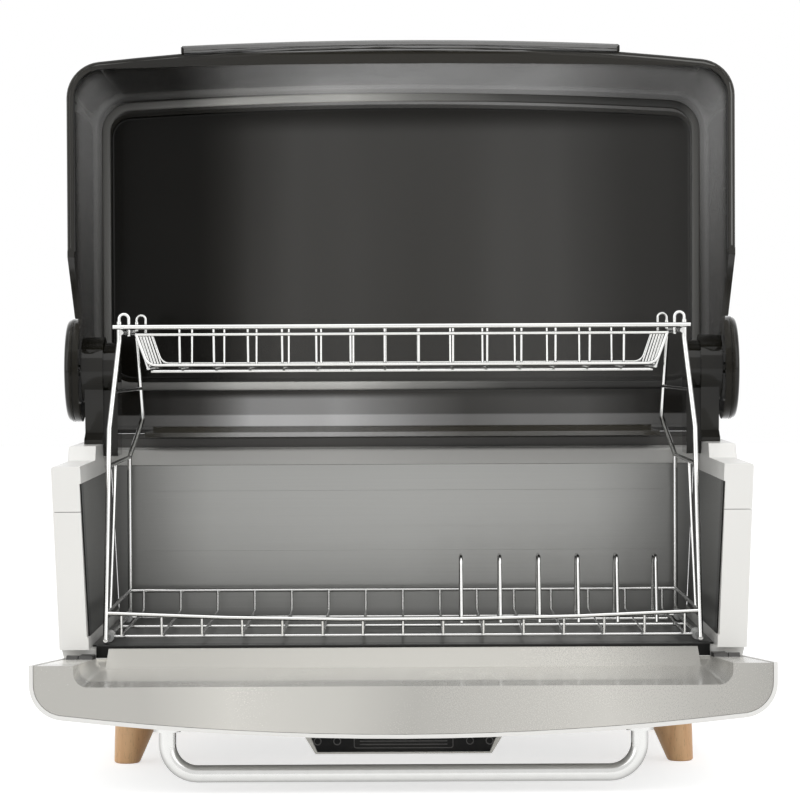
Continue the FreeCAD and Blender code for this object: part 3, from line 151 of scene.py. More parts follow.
class Graph:
    """The node graph of one material, with its Principled shader."""

    def __init__(self, name: str) -> None:
        """Start a material that holds a Principled shader and nothing else."""
        self.material = bpy.data.materials.new(name)
        self.material.use_nodes = True
        self.tree = self.material.node_tree
        self.shader = self.tree.nodes["Principled BSDF"]

    def add(self, kind: str, settings: Optional[dict[str, Any]] = None,
            inputs: Optional[dict[Union[str, int], Input]] = None,
            output: Union[str, int] = 0) -> Signal:
        """Add any node.

        Args:
            kind: The node's type, such as "ShaderNodeTexNoise".
            settings: Properties that are set before its sockets.
            inputs: Socket values or links, by name or index.
            output: The output that is returned.

        Returns:
            The chosen output.
        """
        node = self.tree.nodes.new(kind)
        for key, value in (settings or {}).items():
            if key == "stops":
                self._set_stops(node.color_ramp, value)
            else:
                setattr(node, key, value)
        for key, value in (inputs or {}).items():
            self.feed(node.inputs[key], value)
        return Signal(self, node.outputs[output])

    @staticmethod
    def _set_stops(ramp: bpy.types.ColorRamp, stops: Iterable[tuple[float, Colour]]) -> None:
        """Give a ramp its stops."""
        stops = list(stops)
        while len(ramp.elements) < len(stops):
            ramp.elements.new(0.5)
        for element, (place, colour) in zip(ramp.elements, stops):
            element.position = place
            element.color = (*colour, 1.0)

    def feed(self, socket: bpy.types.NodeSocket, value: Input) -> None:
        """Link a signal to a socket, or set a constant on it."""
        if isinstance(value, Signal):
            self.tree.links.new(value.socket, socket)
        elif socket.type == "RGBA" and isinstance(value, tuple) and len(value) == 3:
            socket.default_value = (*value, 1.0)
        else:
            socket.default_value = value

    def set(self, **inputs: Input) -> None:
        """Feed the Principled shader; underscores in a name stand for spaces."""
        for key, value in inputs.items():
            self.feed(self.shader.inputs[key.replace("_", " ")], value)

    def place(self, scale: Colour = (1.0, 1.0, 1.0)) -> Signal:
        """The point on the piece in metres, stretched by scale."""
        here = self.add("ShaderNodeTexCoord", output="Object")
        if scale == (1.0, 1.0, 1.0):
            return here
        return self.add("ShaderNodeMapping", inputs={"Vector": here, "Scale": scale})

    def axis(self, index: int) -> Signal:
        """One coordinate of the point on the piece, in metres."""
        return self.add("ShaderNodeSeparateXYZ", inputs={0: self.place()}, output=index)

    def axes(self) -> list[Signal]:
        """Place across, depth and height of the point on the piece, in metres."""
        return [self.axis(index) for index in range(3)]

    def noise(self, scale: float, detail: float = 3.0, stretch: Colour = (1.0, 1.0, 1.0),
              distortion: float = 0.0) -> Signal:
        """Noise from 0 to 1.

        Args:
            scale: Grains to the metre.
            detail: How many finer layers it has.
            stretch: Factors on the three axes.
            distortion: How far its lines wander.

        Returns:
            The noise.
        """
        return self.add("ShaderNodeTexNoise",
                        inputs={"Vector": self.place(stretch), "Scale": scale,
                                "Detail": detail, "Distortion": distortion})

    def ramp(self, value: Signal, stops: "Stops") -> Signal:
        """Levels at stated places of a value, with even slopes between them.

        Args:
            value: The value that is looked up.
            stops: Pairs of place and level, in rising order of place.

        Returns:
            The level.
        """
        low, high = stops[0][0], stops[-1][0]
        marks = [((place - low) / (high - low), (level,) * 3) for place, level in stops]
        return self.add("ShaderNodeValToRGB", {"stops": marks},
                        {0: (value - low) / (high - low)})

    def edge(self, fade: Fade) -> Signal:
        """A level by how far the surface turns away from the eye, from 0 to 1."""
        return fade.over(self.add("ShaderNodeLayerWeight", inputs={"Blend": 0.5},
                                  output="Facing"))

    def dim(self, colour: Input, factor: Input) -> Signal:
        """A colour times a factor."""
        return self.add("ShaderNodeVectorMath", {"operation": "SCALE"},
                        {0: colour, "Scale": factor})

    def blend(self, factor: Input, low: Input, high: Input) -> Signal:
        """Mix two colours."""
        return self.add("ShaderNodeMix", {"data_type": "RGBA"},
                        {0: factor, 6: low, 7: high}, output=2)

    def rough(self, mean: float, *spans: tuple[Signal, float]) -> None:
        """Set a roughness that wanders round its mean.

        Args:
            mean: The middle of its range.
            *spans: Pairs of a noise from 0 to 1 and how far it moves the roughness.
        """
        value: Input = mean - sum(span for _, span in spans) / 2
        for noise, span in spans:
            value = noise * span + value
        self.set(Roughness=value)

    def bump(self, height: Signal, strength: float, distance: float) -> None:
        """Raise the surface by a height from 0 to 1, where 1 stands for distance."""
        self.set(Normal=self.add("ShaderNodeBump", inputs={
            "Height": height, "Strength": strength, "Distance": distance}, output="Normal"))


# --- Finishes ---

@dataclass(frozen=True)
class Finish:
    """A material's name and main colour. build() makes the material."""

    name: str
    colour: Colour


@dataclass(frozen=True)
class Moulding(Finish):
    """Moulded plastic or lacquer with a fine texture and a faint unevenness of tone."""

    roughness: float = 0.35
    grain: float = 0.08
    coat: float = 0.0
    metallic: float = 0.0
    grain_scale: float = 2600.0
    grain_depth: float = 0.0002
    patch_scale: float = 9.0
    patch_shade: float = 0.93
    coat_roughness: float = 0.08

    def build(self) -> Material:
        """Make the material."""
        graph = Graph(self.name)
        patches = graph.noise(self.patch_scale, SOFT)
        grain = graph.noise(self.grain_scale, SOFT)
        dark = shade(self.colour, self.patch_shade)
        graph.set(Base_Color=graph.blend(patches, dark, self.colour), Metallic=self.metallic,
                  Coat_Weight=self.coat, Coat_Roughness=self.coat_roughness)
        graph.rough(self.roughness, (patches, 0.10), (grain, 0.06))
        graph.bump(grain, self.grain, self.grain_depth)
        return graph.material


@dataclass(frozen=True)
class BrushedSteel(Finish):
    """Rolled steel lining with fine lines along one axis.

    Painted shade darkens it low down, towards the sides and along its very front edge.
    """

    roughness: float = 0.33
    along: Colour = (6.0, 900.0, 900.0)
    patch_scale: float = 7.0
    line_share: float = 0.6
    line_shade: float = 0.80
    # Painted shade: darker along the very front edge, low down and towards the sides.
    painted_sill_shading: Fade = Fade(-0.0695, -0.0685, 0.12, 1.0)
    painted_shade_heights: Stops = ((0.05, 0.50), (0.0815, 0.55), (0.088, 0.82), (0.150, 0.84), (0.205, 0.84))
    sides: Stops = ((0.0, 1.0), (0.140, 0.95), (0.198, 0.70), (0.208, 0.45))

    def build(self) -> Material:
        """Make the material."""
        graph = Graph(self.name)
        lines = graph.noise(1.0, FINE, self.along)
        patches = graph.noise(self.patch_scale, SOFT)
        across, depth, up = graph.axes()
        # Painted shade by height, towards the sides and along the front edge.
        tone = (graph.ramp(up, self.painted_shade_heights) * graph.ramp(across.size(), self.sides)
                * self.painted_sill_shading.over(depth))
        mixed = lines * self.line_share + patches * (1.0 - self.line_share)
        steel = graph.blend(mixed, shade(self.colour, self.line_shade), self.colour)
        graph.set(Base_Color=graph.dim(steel, tone), Metallic=1.0)
        graph.rough(self.roughness, (lines, 0.14), (patches, 0.08))
        graph.bump(lines, 0.12, 0.0002)
        return graph.material


@dataclass(frozen=True)
class Plating(Finish):
    """Bright or satin plated metal with faint polishing haze.

    Its turned-away edges are darkened, a painted reflection of darker surroundings.
    """

    roughness: float = 0.12
    edge: float = 0.45
    turning: Fade = Fade(0.12, 0.80)
    haze_scale: float = 160.0
    haze_shade: float = 0.92

    def build(self) -> Material:
        """Make the material."""
        graph = Graph(self.name)
        haze = graph.noise(self.haze_scale)
        metal = graph.blend(haze, shade(self.colour, self.haze_shade), self.colour)
        # Painted reflection: edges that turn from the eye are darkened.
        painted_edge_reflection = 1.0 - graph.edge(self.turning) * self.edge
        graph.set(Base_Color=graph.dim(metal, painted_edge_reflection), Metallic=1.0)
        graph.rough(self.roughness, (haze, 0.08))
        graph.bump(haze, 0.05, 0.0003)
        return graph.material


@dataclass(frozen=True)
class Lacquer(Finish):
    """Glossy champagne lacquer with painted reflections.

    Lighter and darker areas across the door face and in its scoop are painted light and shade.
    """

    roughness: float = 0.26
    drift_stretch: Colour = (1.6, 1.0, 1.0)
    wander: float = 0.05
    scoop: Fade = Fade(-0.200, -0.186)
    # Painted light and shade: levels across the door face, and across its scoop.
    painted_door_light_and_shade: Stops = ((-0.235, 0.66), (-0.165, 0.66), (-0.105, 0.90), (-0.040, 0.76),
                     (0.010, 0.62), (0.080, 0.74), (0.130, 0.84), (0.190, 0.66), (0.235, 0.56))
    painted_scoop_light_and_shade: Stops = ((-0.20, 1.05), (-0.10, 1.18), (0.02, 1.22), (0.13, 1.22), (0.205, 0.66))

    def build(self) -> Material:
        """Make the material."""
        graph = Graph(self.name)
        drift = graph.noise(5.0, SOFT, self.drift_stretch, 0.4)
        grain = graph.noise(1800.0, SOFT)
        across = graph.axis(0) + (drift - 0.5) * self.wander
        scoop = self.scoop.over(graph.axis(1))
        # Painted reflections and shade, by place across.
        painted_door_tone = graph.ramp(across, self.painted_door_light_and_shade)
        tone = painted_door_tone * (1.0 - scoop) + graph.ramp(across, self.painted_scoop_light_and_shade) * scoop
        graph.set(Base_Color=graph.dim(self.colour, tone), Metallic=0.30, Coat_Weight=0.35,
                  Coat_Roughness=0.10)
        graph.rough(self.roughness, (grain, 0.06), (drift, 0.10))
        graph.bump(grain, 0.02, 0.0001)
        return graph.material


@dataclass(frozen=True)
class TouchGlass(Finish):
    """Black touch glass, faintly lighter across its middle."""

    roughness: float = 0.08
    # glow: how many times lighter the middle's base colour is than the rest.
    glow: float = 7.0
    middle: Fade = Fade(0.045, 0.015, 0.0, 0.8)
    smear_scale: float = 60.0

    def build(self) -> Material:
        """Make the material."""
        graph = Graph(self.name)
        smears = graph.noise(self.smear_scale)
        lit = self.middle.over(graph.axis(0).size()) + smears * 0.1
        graph.set(Base_Color=graph.blend(lit, self.colour, shade(self.colour, self.glow)),
                  Specular_IOR_Level=0.12)
        graph.rough(self.roughness, (smears, 0.06))
        return graph.material


@dataclass(frozen=True)
class Timber(Finish):
    """Oiled beech whose grain runs along Z, from its main colour to a darker one."""

    dark: Colour
    roughness: float = 0.44
    rings: Colour = (95.0, 95.0, 7.0)
    ring_share: Fade = Fade(0.32, 0.68, 0.0, 0.65)
    fibres: Colour = (900.0, 900.0, 36.0)
    pores: Colour = (1500.0, 1500.0, 170.0)
    pore_share: Fade = Fade(0.62, 0.72)
    pore_shade: float = 0.45

    def build(self) -> Material:
        """Make the material."""
        graph = Graph(self.name)
        fibres = graph.noise(1.0, FINE, self.fibres)
        pores = self.pore_share.over(graph.noise(1.0, 1.0, self.pores))
        rings = self.ring_share.over(graph.noise(1.0, stretch=self.rings, distortion=0.8))
        wood = graph.blend(rings + fibres * 0.35, self.colour, self.dark)
        graph.set(Base_Color=graph.blend(pores * 0.35, wood,
                                         shade(self.dark, self.pore_shade)))
        graph.rough(self.roughness, (fibres, 0.16))
        graph.bump(fibres - pores * 0.6, 0.18, 0.0004)
        return graph.material


@dataclass(frozen=True)
class SmokedPlastic(Finish):
    """Smoky brown moulded acrylic, glossy and nearly black where it is thick."""

    gloss: float = 0.4
    shine: float = 0.8
    roughness: float = 0.15
    pale: float = 2.0
    turning: Fade = Fade(0.25, 0.85)
    haze_stretch: Colour = (1.0, 1.0, 2.5)
    scuff_stretch: Colour = (40.0, 300.0, 700.0)

    def build(self) -> Material:
        """Make the material, with its gloss and fine scuffs."""
        graph = Graph(self.name)
        haze = graph.noise(6.0, SOFT, self.haze_stretch)
        scuffs = graph.noise(1.0, stretch=self.scuff_stretch)
        graph.set(Specular_IOR_Level=0.10, Coat_Roughness=0.05)
        graph.rough(self.roughness, (haze, 0.08), (scuffs, 0.04))
        graph.bump(scuffs, 0.02, 0.0002)
        self.dress(graph, haze)
        return graph.material

    def coat(self, graph: Graph, haze: Signal) -> Signal:
        """The coat's weight, which grows where the surface turns away."""
        return graph.edge(self.turning) * self.gloss + haze * self.shine

    def dress(self, graph: Graph, haze: Signal) -> None:
        """Set the colour and the coat.

        Args:
            graph: The material's graph.
            haze: Slow noise from 0 to 1.
        """
        graph.set(Base_Color=graph.blend(haze, self.colour, shade(self.colour, self.pale)),
                  Coat_Weight=self.coat(graph, haze))


@dataclass(frozen=True)
class ClearSmoke(SmokedPlastic):
    """The lid's moulding, whose thin broad faces let some light through.

    Each table gives the share that one face lets through, by place across; a wall has two
    faces. These shares are painted light and shade: lighter in the middle, darker towards
    the left, darker near the rim, at the top and low down, with a painted highlight bar on
    the lower band and a warm tint painted where more light gets through. The fades limit a
    table or a mask in depth or height.
    """

    gloss: float = 0.35
    shine: float = 0.05
    tint: Colour = (0.033, 0.029, 0.020)
    tinting: float = 4.0
    streak_stretch: Colour = (9.0, 9.0, 1.5)
    streaking: float = 0.5
    behind: Fade = Fade(0.2206, 0.2236)
    low: Fade = Fade(0.245, 0.239)
    # Painted shade near the top of the crown, lower down the faces and near the rim.
    crown_top_shade: Fade = Fade(0.459, 0.440, 0.45, 1.0)
    wall_shade_by_height: Fade = Fade(0.28, 0.46, 0.42, 1.0)
    wall_shade_by_depth: Fade = Fade(0.046, 0.085, 0.25, 1.0)
    # A painted highlight bar along the lower band.
    highlight_bar_height: Fade = Fade(0.2285, 0.2270, 0.0, 0.16)
    highlight_bar_depth: Fade = Fade(0.2125, 0.2150)
    grip_height: Fade = Fade(0.4862, 0.4868, 0.0, 0.34)
    grip_depth: Fade = Fade(0.0492, 0.0488)
    rim_height: Fade = Fade(0.4855, 0.4845, 0.0, 0.5)
    rim_depth: Fade = Fade(0.046, 0.040)
    # Painted light and shade by place across, for the crown, the side and front faces and the
    # lower band.
    crown: Stops = ((-0.20, 0.02), (-0.155, 0.03), (-0.115, 0.15), (-0.08, 0.20), (0.02, 0.20),
                    (0.12, 0.21), (0.175, 0.16), (0.20, 0.15))
    painted_wall_light_and_shade: Stops = ((-0.235, 0.30), (-0.222, 0.27), (-0.205, 0.08), (-0.165, 0.06),
                    (-0.12, 0.26), (-0.06, 0.41), (0.11, 0.40), (0.18, 0.27), (0.215, 0.26),
                    (0.235, 0.38))
    painted_sill_shading: Stops = ((-0.20, 0.06), (-0.155, 0.16), (-0.115, 0.44), (-0.05, 0.50), (0.0, 0.36),
                   (0.05, 0.20), (0.14, 0.24), (0.20, 0.08))

    def dress(self, graph: Graph, haze: Signal) -> None:
        """Set the colour and the coat, and let light through, with painted light and shade.

        Args:
            graph: The material's graph.
            haze: Slow noise from 0 to 1.
        """
        across, depth, up = graph.axes()
        streaks = graph.noise(1.0, SOFT, self.streak_stretch)
        behind, low = self.behind.over(depth), self.low.over(up)
        # Painted light and shade: shares by place across, darker towards the top, low down and
        # near the rim.
        crown = graph.ramp(across, self.crown) * self.crown_top_shade.over(up)
        painted_wall_light_and_shade = (graph.ramp(across, self.painted_wall_light_and_shade) * self.wall_shade_by_height.over(up)
                 * self.wall_shade_by_depth.over(depth))
        # The lower band, with a painted highlight bar.
        painted_sill_shading = (graph.ramp(across, self.painted_sill_shading)
                + self.highlight_bar_height.over(up) * self.highlight_bar_depth.over(depth))
        front = painted_sill_shading * low + painted_wall_light_and_shade * (1.0 - low)
        painted_light_passed = ((crown * behind + front * (1.0 - behind))
                  * (streaks * self.streaking + (1.0 - self.streaking / 2)))
        grip = self.grip_height.over(up) * self.grip_depth.over(depth)
        rim = self.rim_height.over(up) * self.rim_depth.over(depth)
        # A warm base colour painted where more light gets through.
        graph.set(Alpha=1.0 - painted_light_passed - grip, Coat_Weight=self.coat(graph, haze) + rim,
                  Base_Color=graph.blend(painted_light_passed * self.tinting, self.colour, self.tint))


@dataclass(frozen=True)
class LedgePlastic(Finish):
    """Satin smoky moulding, painted with a highlight left of the middle and darker to the sides.
    """

    roughness: float = 0.35
    grain_scale: float = 300.0
    # Painted highlight and shade: near white left of the middle, dark towards the sides.
    painted_highlight_tones: Stops = ((-0.235, 0.26), (-0.205, 0.22), (-0.165, 0.32), (-0.125, 1.0),
                    (-0.040, 0.98), (0.010, 0.44), (0.080, 0.15), (0.165, 0.08), (0.212, 0.08),
                    (0.222, 0.24))

    def build(self) -> Material:
        """Make the material."""
        graph = Graph(self.name)
        grain = graph.noise(self.grain_scale, SOFT)
        tone = graph.ramp(graph.axis(0), self.painted_highlight_tones)
        graph.set(Base_Color=graph.dim(self.colour, tone), Specular_IOR_Level=0.25)
        graph.rough(self.roughness, (grain, 0.1))
        graph.bump(grain, 0.03, 0.0001)
        return graph.material


FINISHES = (
    Moulding("white_plastic", (0.825, 0.818, 0.790), 0.30, 0.05, 0.25),
    BrushedSteel("steel_lining", (0.47, 0.47, 0.455)),
    SmokedPlastic("smoked_plastic", (0.0055, 0.0050, 0.0035)),
    Plating("plated_steel", (0.62, 0.62, 0.62)),
    Lacquer("silver_plastic", (0.66, 0.645, 0.60)),
    Moulding("grey_plastic", (0.035, 0.034, 0.032), 0.45, 0.1),
    Plating("satin_chrome", (0.70, 0.70, 0.685), 0.22, 0.5),
    Moulding("clear_sleeve", (0.55, 0.55, 0.54), 0.35, 0.05),
    Plating("wire_chrome", (0.76, 0.76, 0.745), 0.14, 0.72),
    Timber("beech", (0.86, 0.55, 0.29), (0.66, 0.36, 0.17)),
    TouchGlass("black_glass", (0.005, 0.005, 0.0045)),
    Moulding("circuit_board", (0.02, 0.10, 0.04), 0.40, 0.1),
    Moulding("motor_metal", (0.22, 0.23, 0.25), 0.40, 0.1, 0.0, 0.6),
    Moulding("wheel_plastic", (0.03, 0.03, 0.033), 0.5, 0.1),
    Moulding("black_rubber", (0.02, 0.02, 0.02), 0.7, 0.3),
    Moulding("seal_grey", (0.14, 0.137, 0.13), 0.55, 0.1),
    Moulding("key_marks", (0.16, 0.155, 0.15), 0.4, 0.02),
    # The lid's finish paints light and shade into how much light each face lets through.
    ClearSmoke("lid_clear_painted_light", (0.0055, 0.0050, 0.0035)),
    # A lighter grey for painted highlight lines; its coat is real gloss.
    Moulding("rim_gloss_painted_highlight", (0.085, 0.084, 0.078), 0.20, 0.02, 0.6),
    Moulding("rim_shade", (0.004, 0.004, 0.0035), 0.50, 0.02),
    LedgePlastic("lid_ledge_painted_highlight", (0.94, 0.93, 0.89)),
)


# --- Modelling ---

class Stuff(Enum):
    """What a new piece is made of: the record's slot that names its finish."""

    WHITE = "white_plastic"
    SMOKED = "smoked_plastic"
    SATIN = "satin_chrome"
    STEEL = "plated_steel"
    RUBBER = "black_rubber"
    GREY = "grey_plastic"


class Facing(Enum):
    """Where a screw looks: the turn of its cylinder, and the way out."""

    BACK = ((-math.pi / 2, 0.0, 0.0), (0.0, 1.0, 0.0))
    DOWN = ((math.pi, 0.0, 0.0), (0.0, 0.0, -1.0))


class Clay:
    """A mesh shaped step by step with Blender's own tools, in metres at its final place.

    Its steps return the mesh itself, so that they can be chained.
    """

    def __init__(self, name: str, start: Callable[..., Any], place: Place,
                 scale: Place = (1.0, 1.0, 1.0), **settings: Any) -> None:
        """Add a primitive and settle its place in its mesh.

        Args:
            name: The finished piece's name.
            start: The operator that adds the primitive.
            place: Its centre.
            scale: Its stretch.
            **settings: The operator's other settings.
        """
        if bpy.context.object and bpy.context.object.mode == "EDIT":
            bpy.ops.object.mode_set(mode="OBJECT")
        bpy.ops.object.select_all(action="DESELECT")
        start(location=place, **settings)
        self.piece = bpy.context.active_object
        self.piece.name = name
        self.piece.scale = scale
        bpy.ops.object.transform_apply(location=True, rotation=True, scale=True)

    def _pick(self, mode: str, test: Callable[[Any], bool]) -> "Clay":
        """Select the vertices ("VERT") or faces ("FACE") that pass a test, in edit mode."""
        bpy.ops.object.mode_set(mode="OBJECT")
        mesh = self.piece.data
        for group in (mesh.vertices, mesh.edges, mesh.polygons):
            for element in group:
                element.select = False
        for element in mesh.vertices if mode == "VERT" else mesh.polygons:
            element.select = test(element)
        bpy.ops.object.mode_set(mode="EDIT")
        bpy.ops.mesh.select_mode(type=mode)
        return self

    def corners(self, test: Callable[[Vector], bool] = lambda place: True) -> "Clay":
        """Select the vertices whose place passes a test."""
        return self._pick("VERT", lambda vertex: test(vertex.co))

    def faces(self, test: Callable[[Vector, Vector], bool]) -> "Clay":
        """Select the faces whose centre and normal pass a test."""
        return self._pick("FACE", lambda face: test(face.center, face.normal))

    def inset(self, by: float, depth: float = 0.0) -> "Clay":
        """Inset the selected faces."""
        bpy.ops.mesh.inset(thickness=by, depth=depth)
        return self

    def extrude(self, *by: float) -> "Clay":
        """Extrude the selection by a vector."""
        bpy.ops.mesh.extrude_region_move(TRANSFORM_OT_translate={"value": by})
        return self

    def move(self, *by: float) -> "Clay":
        """Move the selection by a vector."""
        bpy.ops.transform.translate(value=by)
        return self

    def turn(self, degrees: float, axis: str, about: Place) -> "Clay":
        """Turn the selection about an axis through a point, by the right-hand rule."""
        bpy.ops.transform.rotate(value=math.radians(degrees), orient_axis=axis,
                                 center_override=about)
        return self

    def face_along(self, direction: Vector, about: Place) -> "Clay":
        """Turn the selected section of a bead until it lies square across its path.

        Args:
            direction: The path's direction, in the XZ plane.
            about: The section's centre.
        """
        bpy.ops.object.mode_set(mode="OBJECT")
        chosen = [face for face in self.piece.data.polygons if face.select]
        normal = chosen[0].normal.copy()
        bpy.ops.object.mode_set(mode="EDIT")
        angle = math.atan2(direction.x, direction.z) - math.atan2(normal.x, normal.z)
        return self.turn(math.degrees(angle), "Y", about)

    def round(self, by: float, steps: int = 3, points: bool = False) -> "Clay":
        """Bevel the selection.

        Args:
            by: Width of the bevel.
            steps: Its segments.
            points: True to round single points, False to round edges.
        """
        bpy.ops.mesh.bevel(offset=by, segments=steps, affect="VERTICES" if points else "EDGES")
        return self

    def divide(self, cuts: int) -> "Clay":
        """Subdivide the selection."""
        bpy.ops.mesh.subdivide(number_cuts=cuts)
        return self

    def remove(self) -> "Clay":
        """Delete the selected faces."""
        bpy.ops.mesh.delete(type="FACE")
        return self

    def modify(self, kind: str, **settings: Any) -> "Clay":
        """Add a modifier and apply it."""
        bpy.ops.object.mode_set(mode="OBJECT")
        modifier = self.piece.modifiers.new(kind.lower(), kind)
        for key, value in settings.items():
            setattr(modifier, key, value)
        bpy.ops.object.modifier_apply(modifier=modifier.name)
        return self

    def soften(self, by: float, steps: int = 2) -> "Clay":
        """Round every sharp edge."""
        return self.modify("BEVEL", width=by, segments=steps, limit_method="ANGLE")

    def cut(self, other: "Clay") -> "Clay":
        """Take another mesh out of this one and drop it."""
        bpy.ops.object.mode_set(mode="OBJECT")
        self.select()
        self.modify("BOOLEAN", operation="DIFFERENCE", object=other.piece, solver="EXACT")
        bpy.data.objects.remove(other.piece)
        return self

    def select(self) -> None:
        """Make this piece the only selected one."""
        bpy.ops.object.mode_set(mode="OBJECT")
        bpy.ops.object.select_all(action="DESELECT")
        self.piece.select_set(True)
        bpy.context.view_layer.objects.active = self.piece

    def repeat(self, shifts: Iterable[Place]) -> "Clay":
        """Copy the mesh to each shift and join the copies; the original goes."""
        bpy.ops.object.mode_set(mode="OBJECT")
        name, first, made = self.piece.name, self.piece, []
        for shift in shifts:
            self.select()
            bpy.ops.object.duplicate()
            bpy.ops.transform.translate(value=shift)
            made.append(bpy.context.active_object)
        bpy.data.objects.remove(first)
        for copy in made:
            copy.select_set(True)
        bpy.context.view_layer.objects.active = made[0]
        bpy.ops.object.join()
        self.piece = made[0]
        self.piece.name = name
        bpy.ops.object.transform_apply(location=True, rotation=True, scale=True)
        return self

    def join(self, others: Iterable["Clay"]) -> "Clay":
        """Join other meshes to this one."""
        self.select()
        for other in others:
            other.piece.select_set(True)
        bpy.ops.object.join()
        return self

    def settle(self, body: str, stuff: Stuff, made: Finishes, look: str = "",
               angle: float = 35.0) -> bpy.types.Object:
        """Smooth, dress and hand the piece to its body.

        Args:
            body: The body that it moves with.
            stuff: What it is made of.
            made: The materials by name.
            look: The finish, where it isn't its stuff's own.
            angle: Edges sharper than this many degrees stay sharp.

        Returns:
            The finished object.
        """
        self.corners()
        bpy.ops.mesh.remove_doubles(threshold=1e-6)
        bpy.ops.mesh.normals_make_consistent(inside=False)
        self.select()
        bpy.ops.object.shade_smooth_by_angle(angle=math.radians(angle))
        self.piece.data.materials.clear()
        self.piece.data.materials.append(made[look or stuff.value])
        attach(self.piece, body)
        return self.piece


def block(name: str, middle: Place, size: Place) -> Clay:
    """A box to start from, by its middle and its full size."""
    return Clay(name, bpy.ops.mesh.primitive_cube_add, middle, size, size=1.0)


def disc(name: str, middle: Place, radius: float, depth: float, sides: int,
         tilt: Place = BY_Y) -> Clay:
    """A cylinder to start from, by its centre, which lies along Y unless tilted otherwise."""
    return Clay(name, bpy.ops.mesh.primitive_cylinder_add, middle, vertices=sides,
                radius=radius, depth=depth, rotation=tilt)


def ring_plate(name: str, low: Place, high: Place, corner: float, width: float,
               bow: float = 0.0, cuts: int = 15, corner_steps: int = 8) -> Clay:
    """A flat ring in the XZ plane with round corners and a bowed top edge.

    Args:
        name: The piece's name.
        low: Lower left outer corner.
        high: Upper right outer corner, at the same Y.
        corner: Radius of the outer corners.
        width: Width of the band.
        bow: How far the top edge rises at the middle.
        cuts: How often a bowed top edge is divided.
        corner_steps: Segments of a round corner.

    Returns:
        The ring, one face thick.
    """
    half, tall = (high[0] - low[0]) / 2, high[2] - low[2]
    centre = (low[0] + high[0]) / 2
    clay = Clay(name, bpy.ops.mesh.primitive_plane_add,
                (centre, low[1], (low[2] + high[2]) / 2), (half * 2, tall, 1.0), size=1.0,
                rotation=BY_Y)
    if bow:
        clay.corners(lambda place: place.z > high[2] - NEAR).divide(cuts)
        bpy.ops.object.mode_set(mode="OBJECT")
        inner = sorted({round(vertex.co.x, 6) for vertex in clay.piece.data.vertices
                        if vertex.co.z > high[2] - NEAR})
        for across in inner[1:-1]:
            share = (across - centre) / half
            clay.corners(lambda place, across=across: abs(place.x - across) < NEAR
                         and place.z > high[2] - NEAR).move(0.0, 0.0, bow * (1 - share ** 2))
    clay.corners(lambda place: min(abs(place.x - low[0]), abs(place.x - high[0])) < NEAR)
    clay.round(corner, corner_steps, points=True)
    clay.faces(lambda centre, normal: True).inset(width).remove()
    return clay


def screw(name: str, place: Place, facing: Facing, radius: float) -> Clay:
    """A pan-head screw with a cross recess.

    Args:
        name: The piece's name.
        place: The middle of its seat.
        facing: Where its head looks.
        radius: Radius of the head.

    Returns:
        The screw's head.
    """
    tilt, way_out = facing.value
    out, tall = Vector(way_out), radius * 0.6
    long, narrow, deep = radius * 1.25, radius * 0.26, radius * 0.7
    middle = Vector(place) + out * tall * 0.35
    clay = disc(name, tuple(middle), radius, tall, 28, tilt)
    clay.faces(lambda centre, normal: normal.dot(out) > 0.9).round(radius * 0.25, 3)
    head = tuple(middle + out * tall / 2)
    for wide, high in ((long, narrow), (narrow, long)):
        size = (wide, deep, high) if facing is Facing.BACK else (wide, high, deep)
        clay.cut(block("slot", head, size))
    return clay


# --- Studio ---

